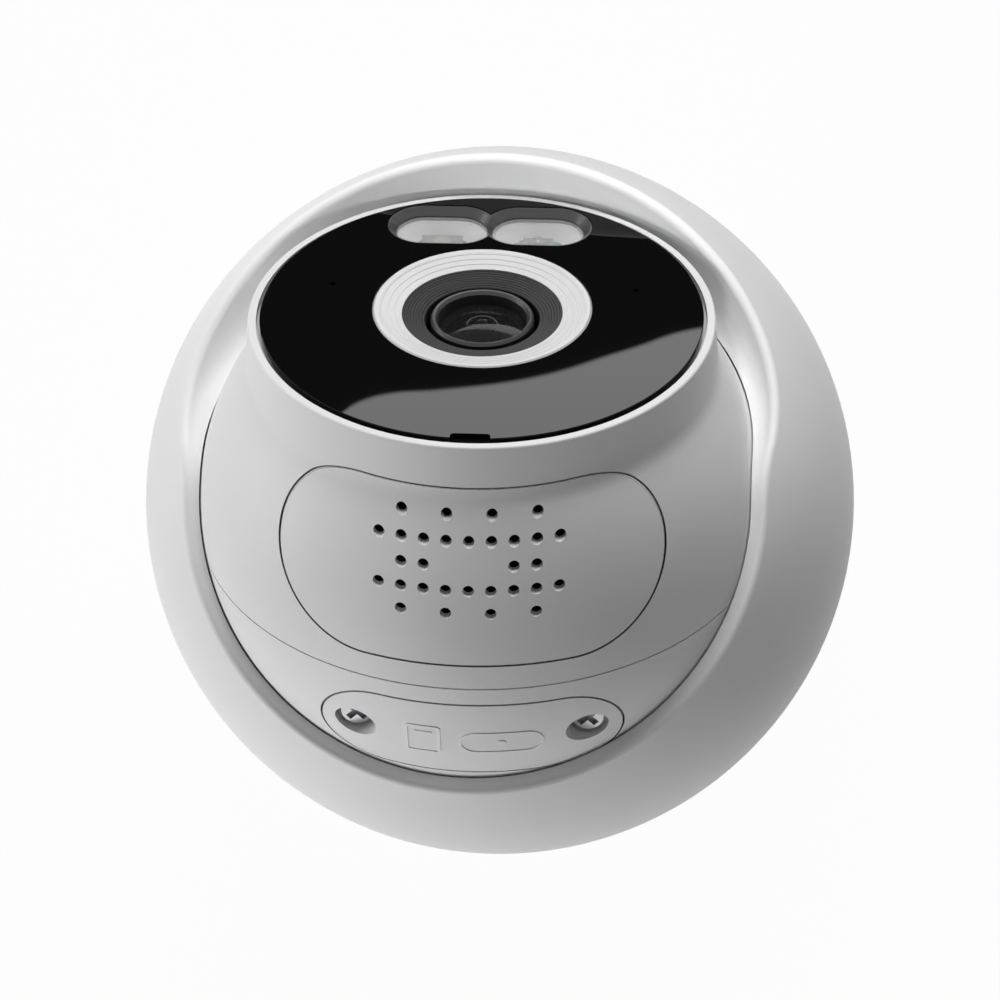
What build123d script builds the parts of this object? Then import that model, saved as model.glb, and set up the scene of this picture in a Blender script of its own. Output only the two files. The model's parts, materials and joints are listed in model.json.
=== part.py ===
from build123d import *
import math
import os

# Wireless security camera of the eyeball kind, in millimetres, +Z up.
# The origin is the centre of the mounting face, and the scoop of the outer shell faces -Y.
# The camera is modelled as it stands in the photograph: tilted to its stop in the scoop.

# Outer shell: a sphere cut flat at the bottom, with a round opening swept forward into a scoop
shell_radius = 55.0
shell_seat = 25.0
shell_wall = 2.0
shell_bottom_z = 6.0
shell_turn_at_rest = 4.0
band_width = 2.4
band_rise = 1.0
lip_gap = 0.25
lip_angle = 73.5
scoop_sweep = 39.0
scoop_skin = 2.0
scoop_bulge = 1.4
scoop_lean = 0.16
scoop_rim_out = 1.96
scoop_rim_rise = 30.0
rim_round = 0.9
shell_centre_z = shell_radius - shell_seat

# Ball: how far it stays inside the shell, its place and the attitude it is left in
ball_inset = 12.3
ball_rise = 20.8
ball_wall = 2.2
ball_tilt = 54.8
ball_spin = 5.7
ball_split = -3.0
ball_rear_cut = 14.7
ball_radius = shell_radius - ball_inset
ball_inside = ball_radius - ball_wall
ball_centre_z = shell_centre_z + ball_rise
ball_rear = ball_rear_cut - ball_radius

# Face of the ball: a short barrel that stands out of the sphere
barrel_inset = 8.5
barrel_rise = 7.53
barrel_draft = 0.5
neck_overlap = 5.5
neck_fillet = 4.5
crown_round = 0.35
bezel_width = 1.2
glass_gap = 0.55
glass_thickness = 1.6
glass_rise = 0.4
glass_chamfer = 0.12
front_wall = 1.6
tape_thickness = 0.3
barrel_radius = ball_radius - barrel_inset
neck_height = math.sqrt(ball_radius ** 2 - barrel_radius ** 2)
neck_start = neck_height - neck_overlap
barrel_height = neck_height + barrel_rise
glass_top = barrel_height + glass_rise
glass_back = glass_top - glass_thickness
wall_front = glass_back - tape_thickness
wall_back = wall_front - front_wall
glass_radius = barrel_radius - bezel_width - glass_gap

# Lamps: two windows in one frame, as near the edge of the face as the glass allows
window_pitch = 14.5
window_length = 13.8
window_height = 8.8
frame_length = 16.4
frame_height = 11.0
lamp_margin = 0.5
window_depth = 1.5
frame_edge = 0.2
window_thickness = 0.6
reflector_depth = 1.9
pinhole_across = 22.4
pinhole_up = 7.1
pinhole_radius = 0.45
notch_width = 5.7
notch_depth = 1.3
notch_drop = 0.9
notch_round = 0.6
frame_end = window_pitch / 2 + frame_length / 2 - frame_height / 2
frame_up = math.sqrt((glass_radius - lamp_margin - frame_height / 2) ** 2 - frame_end ** 2)
window_top = glass_top - window_depth
window_low = window_top - window_thickness
reflector_low = window_low - reflector_depth

# Lens, its ring and the optics behind it, placed under the lamps
ring_radius = 16.1
ring_width = 4.3
ring_to_lamps = 1.3
ring_dish = 0.9
ring_grooves = 3
ring_groove_pitch = 1.0
baffle_steps = 8
baffle_gap = 0.8
baffle_width = 3.4
baffle_drop = 1.1
lens_head_drop = 1.6
lens_thread_inset = 1.6
lens_rim = 1.0
lens_stop_radius = 2.3
lens_stop_depth = 2.6
lens_dome = 1.2
lens_length = 21.0
back_focus = 5.3
holder_side = 18.0
holder_height = 9.0
sensor_board_side = 31.0
board_post_radius = 2.0
board_thickness = 1.2
ring_bore = ring_radius - ring_width
lens_up = frame_up - frame_height / 2 - ring_radius - ring_to_lamps
lens_y = -lens_up
lens_head_radius = ring_bore - baffle_width - baffle_gap
lens_glass_radius = lens_head_radius - lens_rim
lens_thread_radius = lens_head_radius - lens_thread_inset
lens_top = glass_top - lens_head_drop
lens_bottom = lens_top - lens_length
sensor_board_top = lens_bottom - back_focus
holder_top = sensor_board_top + holder_height

# Speaker panel, between the seam of the ball and its neck
panel_inset = 15.2
panel_above_seam = 4.4
panel_above_neck = 0.83
panel_thickness = 1.2
panel_gap = 0.25
panel_bed = 0.05
hole_pitch_across = 3.2
hole_pitch_down = 3.3
hole_radius = 0.82
holes_above_middle = 2.4
speaker_length = 34.0
speaker_height = 20.0
speaker_edge = 1.5
speaker_inset = 14.7
speaker_depth = 6.0
panel_half_length = ball_radius - panel_inset
panel_low = ball_split + panel_above_seam
panel_high = neck_height + panel_above_neck
panel_height = panel_high - panel_low
panel_centre = (panel_high + panel_low) / 2
hole_centre = panel_centre + holes_above_middle
speaker_front = ball_radius - speaker_inset

# Card and reset cover, between the seam and the flat rear of the ball
cover_inset = 20.7
cover_below_seam = 3.3
cover_above_rear = 4.1
cover_thickness = 1.6
cover_gap = 0.22
cover_screw_inset = 5.1
cover_screw_rise = 0.9
cover_screw_depth = 4.15
counterbore_radius = 3.1
cover_screw_head = 2.3
cover_screw_shank = 1.1
cover_seal = 0.3
cover_pad = 1.5
socket_across = 5.2
reset_across = -6.0
card_width = 11.0
card_length = 15.0
card_thickness = 0.8
card_inset = 8.2
switch_inset = 11.7
reset_travel = 0.4
card_travel = 0.8
hatch_across = 1.0
hatch_length = 22.0
hatch_height = 6.4
hatch_round = 1.5
cover_half_length = ball_radius - cover_inset
cover_high = ball_split - cover_below_seam
cover_low = ball_rear + cover_above_rear
cover_height = cover_high - cover_low
cover_centre = (cover_high + cover_low) / 2
cover_screw_across = cover_half_length - cover_screw_inset
cover_screw_centre = cover_centre + cover_screw_rise
cover_screw_seat = math.sqrt(
    ball_radius ** 2 - cover_screw_across ** 2 - cover_screw_centre ** 2) - cover_screw_depth
card_end = ball_radius - card_inset
switch_front = ball_radius - switch_inset

# Boards and small parts in the ball
main_board_drop = 8.0
main_board_room = 6.0
main_post_inset = 9.0
ball_screw_inset = 5.9
ball_screw_boss = 4.0
ball_screw_reach = 11.0
ball_screw_head = 2.6
ball_screw_shank = 1.25
board_screw_shank = 0.75
board_screw_head = 1.6
board_screw_head_height = 1.1
seam_gap = 0.25
seal_inset = 0.6
main_board_top = ball_split - main_board_drop
main_board_radius = math.sqrt(ball_inside ** 2 - main_board_top ** 2) - main_board_room
main_post_circle = main_board_radius - main_post_inset
ball_screw_circle = ball_radius - ball_screw_inset
ball_screw_seat = ball_split - ball_screw_reach

# Mount and pan bearing, inside the rim of the sphere
gasket_thickness = 0.8
gasket_margin = 1.6
plate_floor = 2.2
plate_rim_top = 5.6
plate_rim_wall = 0.917
running_gap = 0.1
bearing_gap = 0.06
pivot_gap = 0.04
glide_thickness = 1.5
ring_thickness = 4.0
slot_inset = 3.6
hub_to_slot = 4.5
hub_wall = 3.0
retainer_lap = 1.1
washer_thickness = 0.5
retainer_thickness = 1.2
mount_hole_radius = 2.2
mount_hole_inset = 7.5
jack_past_holes = 1.8
plate_top = gasket_thickness + plate_floor
ring_bottom = plate_top + glide_thickness
ring_top = ring_bottom + ring_thickness
rim_at_floor = math.sqrt(shell_radius ** 2 - shell_centre_z ** 2)
rim_at_ring = math.sqrt(shell_radius ** 2 - (shell_centre_z - plate_top) ** 2)
gasket_outer = rim_at_floor - gasket_margin
ring_outer = rim_at_ring - plate_rim_wall - 4 * running_gap
slot_radius = ring_outer - slot_inset
hub_outer = slot_radius - hub_to_slot
hub_inner = hub_outer - hub_wall
retainer_outer = hub_outer + retainer_lap
mount_hole_circle = hub_inner - mount_hole_inset
jack_at_y = mount_hole_circle + jack_past_holes

# Shell screws, cradle and jack
shell_turn_limit = 6.0
shell_screw_shank = 1.5
shell_screw_head = 2.6
shell_screw_head_height = 1.3
shell_boss_radius = 3.2
shell_boss_height = 6.3
strap_gap = 0.5
strap_thickness = 1.2
strap_half_width = 5.0
pivot_radius = 2.0
pivot_washer = 0.4
post_thickness = 1.5
post_half_width = 6.0
ear_radius = 4.4
spindle_radius = 5.0
spindle_bore = 3.2
jack_across = 9.0
jack_deep = 10.0
jack_tall = 11.5
jack_bore = 2.9
jack_bore_depth = 3.6
jack_contact_radius = 1.0


def in_ball(part):
    """Turn a piece made on the lens axis into the ball's attitude."""
    return Pos(0, 0, ball_centre_z) * Rot(X=ball_tilt) * Rot(Z=ball_spin) * part


def in_cradle(part):
    """Turn a piece made on the lens axis into the cradle's attitude."""
    return Pos(0, 0, ball_centre_z) * Rot(X=ball_tilt) * part


def outline(points):
    """Flat face in the XZ plane from points given as (radius, height)."""
    return make_face(Polyline([(r, 0, z) for r, z in points], close=True))


def turned(points):
    """Body of revolution about Z from points given as (radius, height)."""
    return revolve(outline(points), Axis.Z)


def tube(outer, inner, low, high):
    """Plain ring between two radii and two heights."""
    return turned([(inner, low), (outer, low), (outer, high), (inner, high)])


def rod(radius, low, high, x=0.0, y=0.0):
    """Round bar along Z."""
    return Pos(x, y, low) * Cylinder(radius, high - low, align=(Align.CENTER, Align.CENTER, Align.MIN))


def rod_y(radius, low, high, x=0.0, z=0.0):
    """Round bar along Y."""
    return Pos(x, low, z) * Rot(X=-90) * Cylinder(
        radius, high - low, align=(Align.CENTER, Align.CENTER, Align.MIN))


def rod_x(radius, low, high, y=0.0, z=0.0):
    """Round bar along X."""
    return Pos(low, y, z) * Rot(Y=90) * Cylinder(
        radius, high - low, align=(Align.CENTER, Align.CENTER, Align.MIN))


def block(x0, x1, y0, y1, z0, z1):
    """Rectangular block between two corners."""
    return Pos((x0 + x1) / 2, (y0 + y1) / 2, (z0 + z1) / 2) * Box(x1 - x0, y1 - y0, z1 - z0)


def long_hole(length, height, low, high, x=0.0, y=0.0):
    """Bar along Z with the section of a stadium, long across X."""
    section = SlotOverall(length, height)
    return Pos(x, y, low) * extrude(section, high - low)


def long_hole_y(length, height, low, high, x=0.0, z=0.0):
    """Bar along Y with the section of a stadium, long across X."""
    section = Plane((x, low, z), x_dir=(1, 0, 0), z_dir=(0, 1, 0)) * SlotOverall(length, height)
    return extrude(section, high - low)


# Outer shell

lip_height = ball_radius * math.cos(math.radians(lip_angle))
lip_radius = ball_radius * math.sin(math.radians(lip_angle))
scoop_rim_reach = lip_radius + scoop_rim_out


def opening_section(grow, both_sides):
    """Section of what the opening takes away, on the opening's own axis from the ball's centre."""
    inside = lip_radius - band_width
    inside_height = lip_height - band_rise - grow
    start = (lip_radius + 0.4 * band_width + 0.6 * grow, lip_height + 0.4 * band_rise - grow)
    middle = (scoop_rim_reach + scoop_bulge + grow, 0.65 * scoop_rim_rise - 0.3 * grow)
    top = (scoop_rim_reach + grow, scoop_rim_rise)
    far = (scoop_rim_reach - band_width + grow, shell_radius)

    def half(side):
        def at(point):
            return (side * point[0], 0, point[1])

        curve = Spline(at(start), at(middle), at(top),
                       tangents=[(side * band_width, 0, band_rise), (-side * scoop_lean, 0, 1)])
        corners = [(0, inside_height), (inside, inside_height), start]
        floor = [Line(at(p), at(q)) for p, q in zip(corners, corners[1:])]
        return floor + [curve, Line(at(top), at(far)), Line(at(far), (0, 0, shell_radius))]

    if both_sides:
        return make_face(half(1) + half(-1))
    return make_face(half(1) + [Line((0, 0, shell_radius), (0, 0, inside_height))])


def opening(grow):
    """The round opening, swept forward about the tilt axis."""
    round_part = revolve(opening_section(grow, False), Axis.Z)
    swept = revolve(opening_section(grow, True), Axis.X, scoop_sweep)
    whole = round_part + swept + Rot(X=scoop_sweep) * round_part
    return Pos(0, 0, ball_centre_z) * whole


def shell_boss_places():
    """Screw places of the shell, clear of the two cradle posts."""
    return [(slot_radius * math.cos(math.radians(a)), slot_radius * math.sin(math.radians(a)), a)
            for a in (90, 210, 330)]


def on_rim(edge):
    """True for the edges where the opening leaves the outer sphere."""
    ends = [edge.position_at(0), edge.position_at(0.5), edge.position_at(1)]
    on_sphere = all(abs((p - Vector(0, 0, shell_centre_z)).length - shell_radius) < 0.02 for p in ends)
    return on_sphere and min(p.Z for p in ends) > shell_centre_z


def make_outer_shell():
    body = Pos(0, 0, shell_centre_z) * Rot(Z=90) * Sphere(shell_radius)
    below = 2 * shell_radius
    body -= block(-below, below, -below, below, shell_bottom_z - below, shell_bottom_z)
    body -= opening(0)
    body = fillet([e for e in body.edges() if on_rim(e)], rim_round)
    hollow = Pos(0, 0, shell_centre_z) * Rot(Z=90) * Sphere(shell_radius - shell_wall)
    hollow -= opening(scoop_skin)
    body -= hollow
    body -= Pos(0, 0, ball_centre_z) * Sphere(ball_radius + lip_gap)
    boss_bottom = ring_top + 2 * running_gap
    boss_top = boss_bottom + shell_boss_height
    keep = Pos(0, 0, shell_centre_z) * Sphere(shell_radius - shell_wall / 2)
    for x, y, a in shell_boss_places():
        rib = Rot(Z=a) * block(slot_radius, shell_radius, -shell_boss_radius, shell_boss_radius,
                               boss_bottom, boss_top)
        body += rod(shell_boss_radius, boss_bottom, boss_top, x, y) + (rib & keep)
    for x, y, a in shell_boss_places():
        body -= rod(shell_screw_shank, boss_bottom, boss_top - shell_wall, x, y)
    return Rot(Z=shell_turn_at_rest) * body


# Mount plate and pan bearing

hub_top = ring_top + washer_thickness
retainer_top = hub_top + retainer_thickness
retainer_screw_circle = (hub_outer + hub_inner) / 2
retainer_screw_shank = 0.9
retainer_screw_head = 1.8


def on_circle(radius, angles):
    """Points on a circle about Z, with their angles."""
    return [(radius * math.cos(math.radians(a)), radius * math.sin(math.radians(a)), a) for a in angles]


def make_mount_gasket():
    return tube(gasket_outer, hub_outer, 0, gasket_thickness)


def make_mount_plate():
    wide = shell_radius
    body = Pos(0, 0, shell_centre_z) * Rot(Z=90) * Sphere(shell_radius)
    body &= block(-wide, wide, -wide, wide, 0, plate_rim_top)
    body -= make_mount_gasket()
    body -= rod(ring_outer + 4 * running_gap, plate_top, plate_rim_top)
    body += tube(hub_outer, hub_inner, plate_top, hub_top)
    for x, y, _ in on_circle(mount_hole_circle, (45, 135, 225, 315)):
        body -= rod(mount_hole_radius, 0, plate_top, x, y)
    for x, y, _ in on_circle(retainer_screw_circle, (30, 150, 270)):
        body -= rod(retainer_screw_shank, plate_top, hub_top, x, y)
    return body - block(-jack_across / 2, jack_across / 2, jack_at_y - jack_deep / 2,
                        jack_at_y + jack_deep / 2, 0, plate_top)


def make_glide_ring():
    return tube(ring_outer - running_gap, hub_outer + 2 * running_gap, plate_top, ring_bottom - running_gap / 2)


def ring_sector(width, low, high, middle, half_angle):
    """Curved bar about Z, centred on the slot circle."""
    face = outline([(slot_radius - width / 2, low), (slot_radius + width / 2, low),
                    (slot_radius + width / 2, high), (slot_radius - width / 2, high)])
    return Rot(Z=middle - half_angle) * revolve(face, Axis.Z, 2 * half_angle)


def slot_reach(radius):
    """Half angle of a slot that lets a bar of this radius through its whole turn."""
    return shell_turn_limit + math.degrees(math.asin((radius + running_gap) / slot_radius))


post_inner = ball_radius + strap_gap + strap_thickness + pivot_washer
post_outer = post_inner + post_thickness
foot_length = 3.6
foot_screw_across = 3.6
foot_screw_shank = 0.9
foot_screw_head = 1.6


def foot_screw_places():
    inset = post_inner - foot_length / 2
    return [(side * inset, along) for side in (1, -1) for along in (foot_screw_across, -foot_screw_across)]


def make_swivel_ring():
    body = tube(ring_outer, hub_outer + bearing_gap, ring_bottom, ring_top)
    recess_top = ring_bottom + shell_screw_head_height + 2 * running_gap
    for _, _, a in shell_boss_places():
        body -= ring_sector(2 * (shell_screw_shank + running_gap), ring_bottom, ring_top, a,
                            slot_reach(shell_screw_shank))
        body -= ring_sector(2 * (shell_screw_head + running_gap), ring_bottom, recess_top, a,
                            slot_reach(shell_screw_head))
    for x, y in foot_screw_places():
        body -= rod(foot_screw_shank, ring_bottom + foot_screw_shank, ring_top, x, y)
    return body


def make_pan_wave_washer():
    return tube(retainer_outer - running_gap, hub_outer + 2 * running_gap, ring_top + running_gap / 2, hub_top)


def make_pan_retainer():
    body = tube(retainer_outer, hub_inner, hub_top, retainer_top)
    for x, y, _ in on_circle(retainer_screw_circle, (30, 150, 270)):
        body -= rod(retainer_screw_shank, hub_top, retainer_top, x, y)
    return body


def make_retainer_screws():
    group = []
    for x, y, _ in on_circle(retainer_screw_circle, (30, 150, 270)):
        shank = rod(retainer_screw_shank, plate_top + running_gap, retainer_top, x, y)
        head = rod(retainer_screw_head, retainer_top, retainer_top + 1.1, x, y)
        cross = block(-1.1, 1.1, -0.25, 0.25, retainer_top + 0.6, retainer_top + 1.1)
        group.append(shank + head - Pos(x, y, 0) * cross - Pos(x, y, 0) * Rot(Z=90) * cross)
    return group


def make_power_jack():
    top = gasket_thickness + jack_tall
    body = block(-jack_across / 2, jack_across / 2, jack_at_y - jack_deep / 2, jack_at_y + jack_deep / 2,
                 gasket_thickness, top)
    mouth = gasket_thickness + jack_bore_depth
    body -= rod(jack_bore, gasket_thickness, mouth, 0, jack_at_y)
    body -= rod(jack_bore - 0.2, mouth, top - 2, 0, jack_at_y)
    return body + rod(jack_contact_radius, mouth + 0.4, top - 2, 0, jack_at_y)


def make_shell_screws():
    low = ring_bottom + running_gap
    high = ring_top + 2 * running_gap + shell_boss_height - shell_wall
    group = []
    for x, y, _ in shell_boss_places():
        head = rod(shell_screw_head, low, low + shell_screw_head_height, x, y)
        shank = rod(shell_screw_shank, low, high, x, y)
        group.append(Rot(Z=shell_turn_at_rest) * (head + shank))
    return group


# Cradle: two posts on the swivel ring carry a bent strap, which carries the ball on its rear spindle

strap_inner = ball_radius + strap_gap
strap_outer = strap_inner + strap_thickness
bar_inner = ball_rear - pivot_washer
bar_outer = bar_inner - 1.4
bush_wall = 1.2
bush_flange = 3.0


def make_cradle_posts():
    profile = [(post_half_width, ring_top), (post_half_width, ring_top + 8), (ear_radius, ball_centre_z),
               (-ear_radius, ball_centre_z), (-post_half_width, ring_top + 8), (-post_half_width, ring_top)]
    group = []
    for side in (1, -1):
        face = make_face(Polyline([(post_inner, y, z) for y, z in profile], close=True))
        post = extrude(face, amount=post_thickness, dir=(1, 0, 0))
        post += rod_x(ear_radius, post_inner, post_outer, 0, ball_centre_z)
        post += block(post_inner - foot_length, post_inner, -post_half_width, post_half_width,
                      ring_top, ring_top + post_thickness)
        post -= rod_x(pivot_radius + 1, post_inner, post_outer, 0, ball_centre_z)
        for x, y in foot_screw_places():
            post -= rod(foot_screw_shank, ring_top, ring_top + post_thickness, abs(x), y)
        group.append(post if side == 1 else mirror(post, Plane.YZ))
    return group


def make_post_screws():
    seat = ring_top + post_thickness
    group = []
    for x, y in foot_screw_places():
        shank = rod(foot_screw_shank, ring_bottom + foot_screw_shank, seat, x, y)
        group.append(shank + rod(foot_screw_head, seat, seat + 0.9, x, y))
    return group


def both_sides(make):
    """The same piece on the two sides of the ball."""
    one = make()
    return [one, mirror(one, Plane.YZ)]


def make_tilt_bushes():
    def one():
        body = rod_x(pivot_radius + 1, post_inner, post_outer, 0, ball_centre_z)
        return body - rod_x(pivot_radius + pivot_gap, post_inner, post_outer, 0, ball_centre_z)
    return both_sides(one)


def make_tilt_washers():
    def one():
        low = strap_outer + 0.03
        body = rod_x(ear_radius - 0.2, low, post_inner, 0, ball_centre_z)
        return body - rod_x(pivot_radius + 0.1, low, post_inner, 0, ball_centre_z)
    return both_sides(one)


def make_tilt_pins():
    def one():
        body = rod_x(pivot_radius, strap_inner, post_outer + 0.9, 0, ball_centre_z)
        return body + rod_x(pivot_radius + 0.8, post_outer + 0.15, post_outer + 0.75, 0, ball_centre_z)
    return both_sides(one)


def make_tilt_yoke():
    wide = strap_half_width
    body = rod_y(strap_outer, -wide, wide) & block(-strap_outer, strap_outer, -wide, wide, bar_outer, 0)
    inner = rod_y(strap_inner, -wide, wide) & block(-strap_outer, strap_outer, -wide, wide, bar_inner, 0)
    body -= inner
    for side in (1, -1):
        low = min(side * strap_inner, side * strap_outer)
        body += rod_x(wide, low, low + strap_thickness)
        body -= rod_x(pivot_radius, low, low + strap_thickness)
    body += rod(spindle_radius + bush_flange + 2, bar_outer, bar_inner)
    body -= rod(spindle_radius + bush_wall, bar_outer, bar_inner)
    return in_cradle(body)


def make_spindle_bush():
    bore = spindle_radius + pivot_gap
    sleeve = tube(spindle_radius + bush_wall, bore, bar_outer, bar_inner)
    return in_cradle(sleeve + tube(spindle_radius + bush_flange, bore, bar_outer - 0.7, bar_outer))


def make_spin_washer():
    return in_cradle(tube(spindle_radius + 4, spindle_radius + 0.1, bar_inner, ball_rear - 0.03))


def make_rear_spindle():
    floor = ball_rear + ball_wall
    body = tube(spindle_radius, spindle_bore, bar_outer - 3.2, floor)
    return in_ball(body + tube(spindle_radius + 4, spindle_bore, floor, floor + 1.5))


def make_spindle_nut():
    low = bar_outer - 3.0
    body = Pos(0, 0, low) * extrude(RegularPolygon(spindle_radius + 3, 6), 2.2)
    return in_ball(body - rod(spindle_radius, low, low + 2.2))


# Ball shells


def ball_outside():
    """Outer form of the ball: a sphere with a short drafted barrel and a rounded neck."""
    wide = ball_radius
    body = Rot(Z=90) * Sphere(ball_radius) & block(-wide, wide, -wide, wide, -wide, wall_back)
    base = barrel_radius + 2 * barrel_draft
    body += turned([(0, 0), (base, 0), (base, neck_start), (barrel_radius, barrel_height), (0, barrel_height)])
    neck = [e for e in body.edges().filter_by(GeomType.CIRCLE)
            if neck_start < e.center().Z < barrel_height - 2 and e.radius > barrel_radius]
    body = fillet(neck, neck_fillet)
    crown = [e for e in body.edges().filter_by(GeomType.CIRCLE) if e.center().Z > barrel_height - 0.1]
    return fillet(crown, crown_round)


def ball_screw_places():
    return on_circle(ball_screw_circle, (20, 160, 245, 295))


def sensor_post_places():
    away = sensor_board_side / 2 - board_post_radius - 0.3
    return [(sx * away, lens_y + sy * away) for sx in (1, -1) for sy in (1, -1)]


def speaker_bar(inset, low, high):
    """Bar along Y with the outline of the speaker, drawn in by an inset."""
    return long_hole_y(speaker_length - 2 * inset, speaker_height - 2 * inset, low, high, 0, hole_centre)


lamp_post_across = frame_end + frame_height / 2 + 2.15


def lamp_post_places():
    return [(side * lamp_post_across, 4.8 - frame_up) for side in (1, -1)]


def panel_prism(grow, near=0):
    return long_hole_y(2 * (panel_half_length + grow), panel_height + 2 * grow, near, ball_radius + 5,
                       0, panel_centre)


def cover_prism(grow, near=0):
    return long_hole_y(2 * (cover_half_length + grow), cover_height + 2 * grow, near, ball_radius + 5,
                       0, cover_centre)


def lamp_frame_bar(grow, low, high):
    """Outside of the frame round both windows: two stadiums that overlap in the middle."""
    length = frame_length + 2 * grow
    height = frame_height + 2 * grow
    across = window_pitch / 2
    left = long_hole(length, height, low, high, -across, -frame_up)
    return left + long_hole(length, height, low, high, across, -frame_up)


def make_ball_front_shell():
    wide = ball_radius + 1
    split = ball_split + seam_gap / 2
    body = ball_outside() & block(-wide, wide, -wide, wide, split, wide)
    hollow = Rot(Z=90) * Sphere(ball_inside) & block(-wide, wide, -wide, wide, -wide, wall_back)
    body -= hollow
    body -= rod(barrel_radius - bezel_width, wall_front, barrel_height)
    body -= rod(ring_radius + 0.1, wall_back, wall_front, 0, lens_y)
    body -= lamp_frame_bar(0.15, wall_back - 4, wall_front)
    for side in (1, -1):
        body -= rod(2 * pinhole_radius, wall_back, wall_front, side * pinhole_across, -pinhole_up)
    body -= panel_prism(panel_gap) - Rot(Z=90) * Sphere(ball_radius - panel_thickness - panel_bed)
    body -= speaker_bar(speaker_edge, 0, wide)
    for x, y in sensor_post_places():
        post = rod(board_post_radius, sensor_board_top, wall_back + 0.5, x, y)
        body += post - rod(board_screw_shank, sensor_board_top, sensor_board_top + 5, x, y)
    for x, y in lamp_post_places():
        body += rod(1.9, reflector_low, wall_back + 0.5, x, y)
        body -= rod(board_screw_shank, reflector_low, wall_back, x, y)
    for x, y, a in ball_screw_places():
        body += rod(ball_screw_boss, split, split + 9, x, y) & Sphere(ball_radius - ball_wall / 2)
        body -= rod(ball_screw_shank, split, split + 7.5, x, y)
    return in_ball(body)


def main_post_places():
    return on_circle(main_post_circle, (50, 130, 200, 340))


def make_ball_rear_shell():
    wide = ball_radius + 1
    split = ball_split - seam_gap / 2
    slab = block(-wide, wide, -wide, wide, ball_rear, split)
    body = Rot(Z=90) * Sphere(ball_radius) & slab
    body -= Rot(Z=90) * Sphere(ball_inside) & block(-wide, wide, -wide, wide, ball_rear + ball_wall, split)
    pad = Rot(Z=90) * Sphere(ball_inside + 0.3) - Sphere(ball_inside - cover_pad)
    body += pad & cover_prism(1.5) & slab
    low = ball_radius - cover_thickness - cover_seal
    body -= cover_prism(cover_gap) - Sphere(low)
    well = cover_screw_seat - 1.2
    for side in (1, -1):
        x = side * cover_screw_across
        boss = rod_y(counterbore_radius + 1.6, well - 6, well + 2, x, cover_screw_centre)
        body += boss & Sphere(low)
        body -= rod_y(counterbore_radius + 1, well, wide, x, cover_screw_centre)
        body -= rod_y(cover_screw_shank, well - 5, well, x, cover_screw_centre)
    hatch = Plane((hatch_across, ball_radius / 2, card_middle + 0.1), x_dir=(1, 0, 0), z_dir=(0, 1, 0))
    body -= extrude(hatch * RectangleRounded(hatch_length, hatch_height, hatch_round), ball_radius)
    floor = ball_rear + ball_wall
    board_under = main_board_top - board_thickness
    for x, y, _ in main_post_places():
        body += rod(board_post_radius + 0.2, floor - 0.5, board_under, x, y)
        body -= rod(board_screw_shank, board_under - 6, board_under, x, y)
    for x, y, _ in ball_screw_places():
        tall = rod(ball_screw_boss, ball_rear, split, x, y) & Sphere(ball_radius - ball_wall / 2)
        body += tall & slab
        body -= rod(ball_screw_head + 0.3, ball_rear - 1, ball_screw_seat, x, y)
        body -= rod(ball_screw_shank, ball_screw_seat, split, x, y)
    body -= rod(spindle_radius, ball_rear - 1, floor + 1)
    return in_ball(body)


def make_shell_seal():
    outer = ball_radius - seal_inset
    body = tube(outer, ball_inside + 0.2, ball_split - seam_gap / 2, ball_split + seam_gap / 2)
    for x, y, _ in ball_screw_places():
        body -= rod(ball_screw_boss, ball_split - 1, ball_split + 1, x, y)
    return in_ball(body)


def make_ball_screws():
    group = []
    for x, y, _ in ball_screw_places():
        head = rod(ball_screw_head, ball_screw_seat - 2, ball_screw_seat, x, y)
        shank = rod(ball_screw_shank, ball_screw_seat, ball_split + 7, x, y)
        group.append(in_ball(head + shank))
    return group


# Face: smoked glass, lens ring, lens and lamps

def make_front_glass():
    body = rod(glass_radius, glass_back, glass_top)
    body -= rod(ring_radius + 0.05, glass_back, glass_top, 0, lens_y)
    body -= lamp_frame_bar(0.05, glass_back, glass_top)
    for side in (1, -1):
        body -= rod(pinhole_radius, glass_back, glass_top, side * pinhole_across, -pinhole_up)
    notch = RectangleRounded(notch_width, 2 * notch_depth, notch_round)
    body -= extrude(Plane((0, glass_radius, glass_top - notch_drop)) * notch, notch_drop)
    edge = [e for e in body.edges().filter_by(GeomType.CIRCLE)
            if abs(e.radius - glass_radius) < 0.01 and e.center().Z > glass_top - 0.01]
    return in_ball(chamfer(edge, glass_chamfer))


def make_glass_tape():
    body = tube(glass_radius - 0.3, glass_radius - 1.9, wall_front, glass_back)
    reach = window_pitch / 2 + frame_length / 2 + 0.3
    return in_ball(body - block(-reach, reach, -glass_radius, -frame_up, wall_front, glass_back))


def make_lens_ring():
    flange_low = wall_back - 0.8
    rim = ring_radius - 0.9
    points = [(ring_bore, flange_low), (ring_radius + 0.5, flange_low), (ring_radius + 0.5, wall_back),
              (ring_radius, wall_back), (ring_radius, glass_top - 0.25), (ring_radius - 0.3, glass_top + 0.1),
              (rim, glass_top + 0.05)]
    for groove in range(ring_grooves):
        r = rim - 0.4 - groove * ring_groove_pitch
        z = glass_top - ring_dish * (rim - r) / (rim - ring_bore)
        points += [(r + 0.12, z), (r + 0.06, z - 0.12), (r - 0.06, z - 0.12), (r - 0.12, z - 0.05)]
    points.append((ring_bore, glass_top - ring_dish))
    body = Pos(0, lens_y, 0) * turned(points)
    return in_ball(body - lamp_frame_bar(0.3, flange_low, wall_back))


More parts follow.
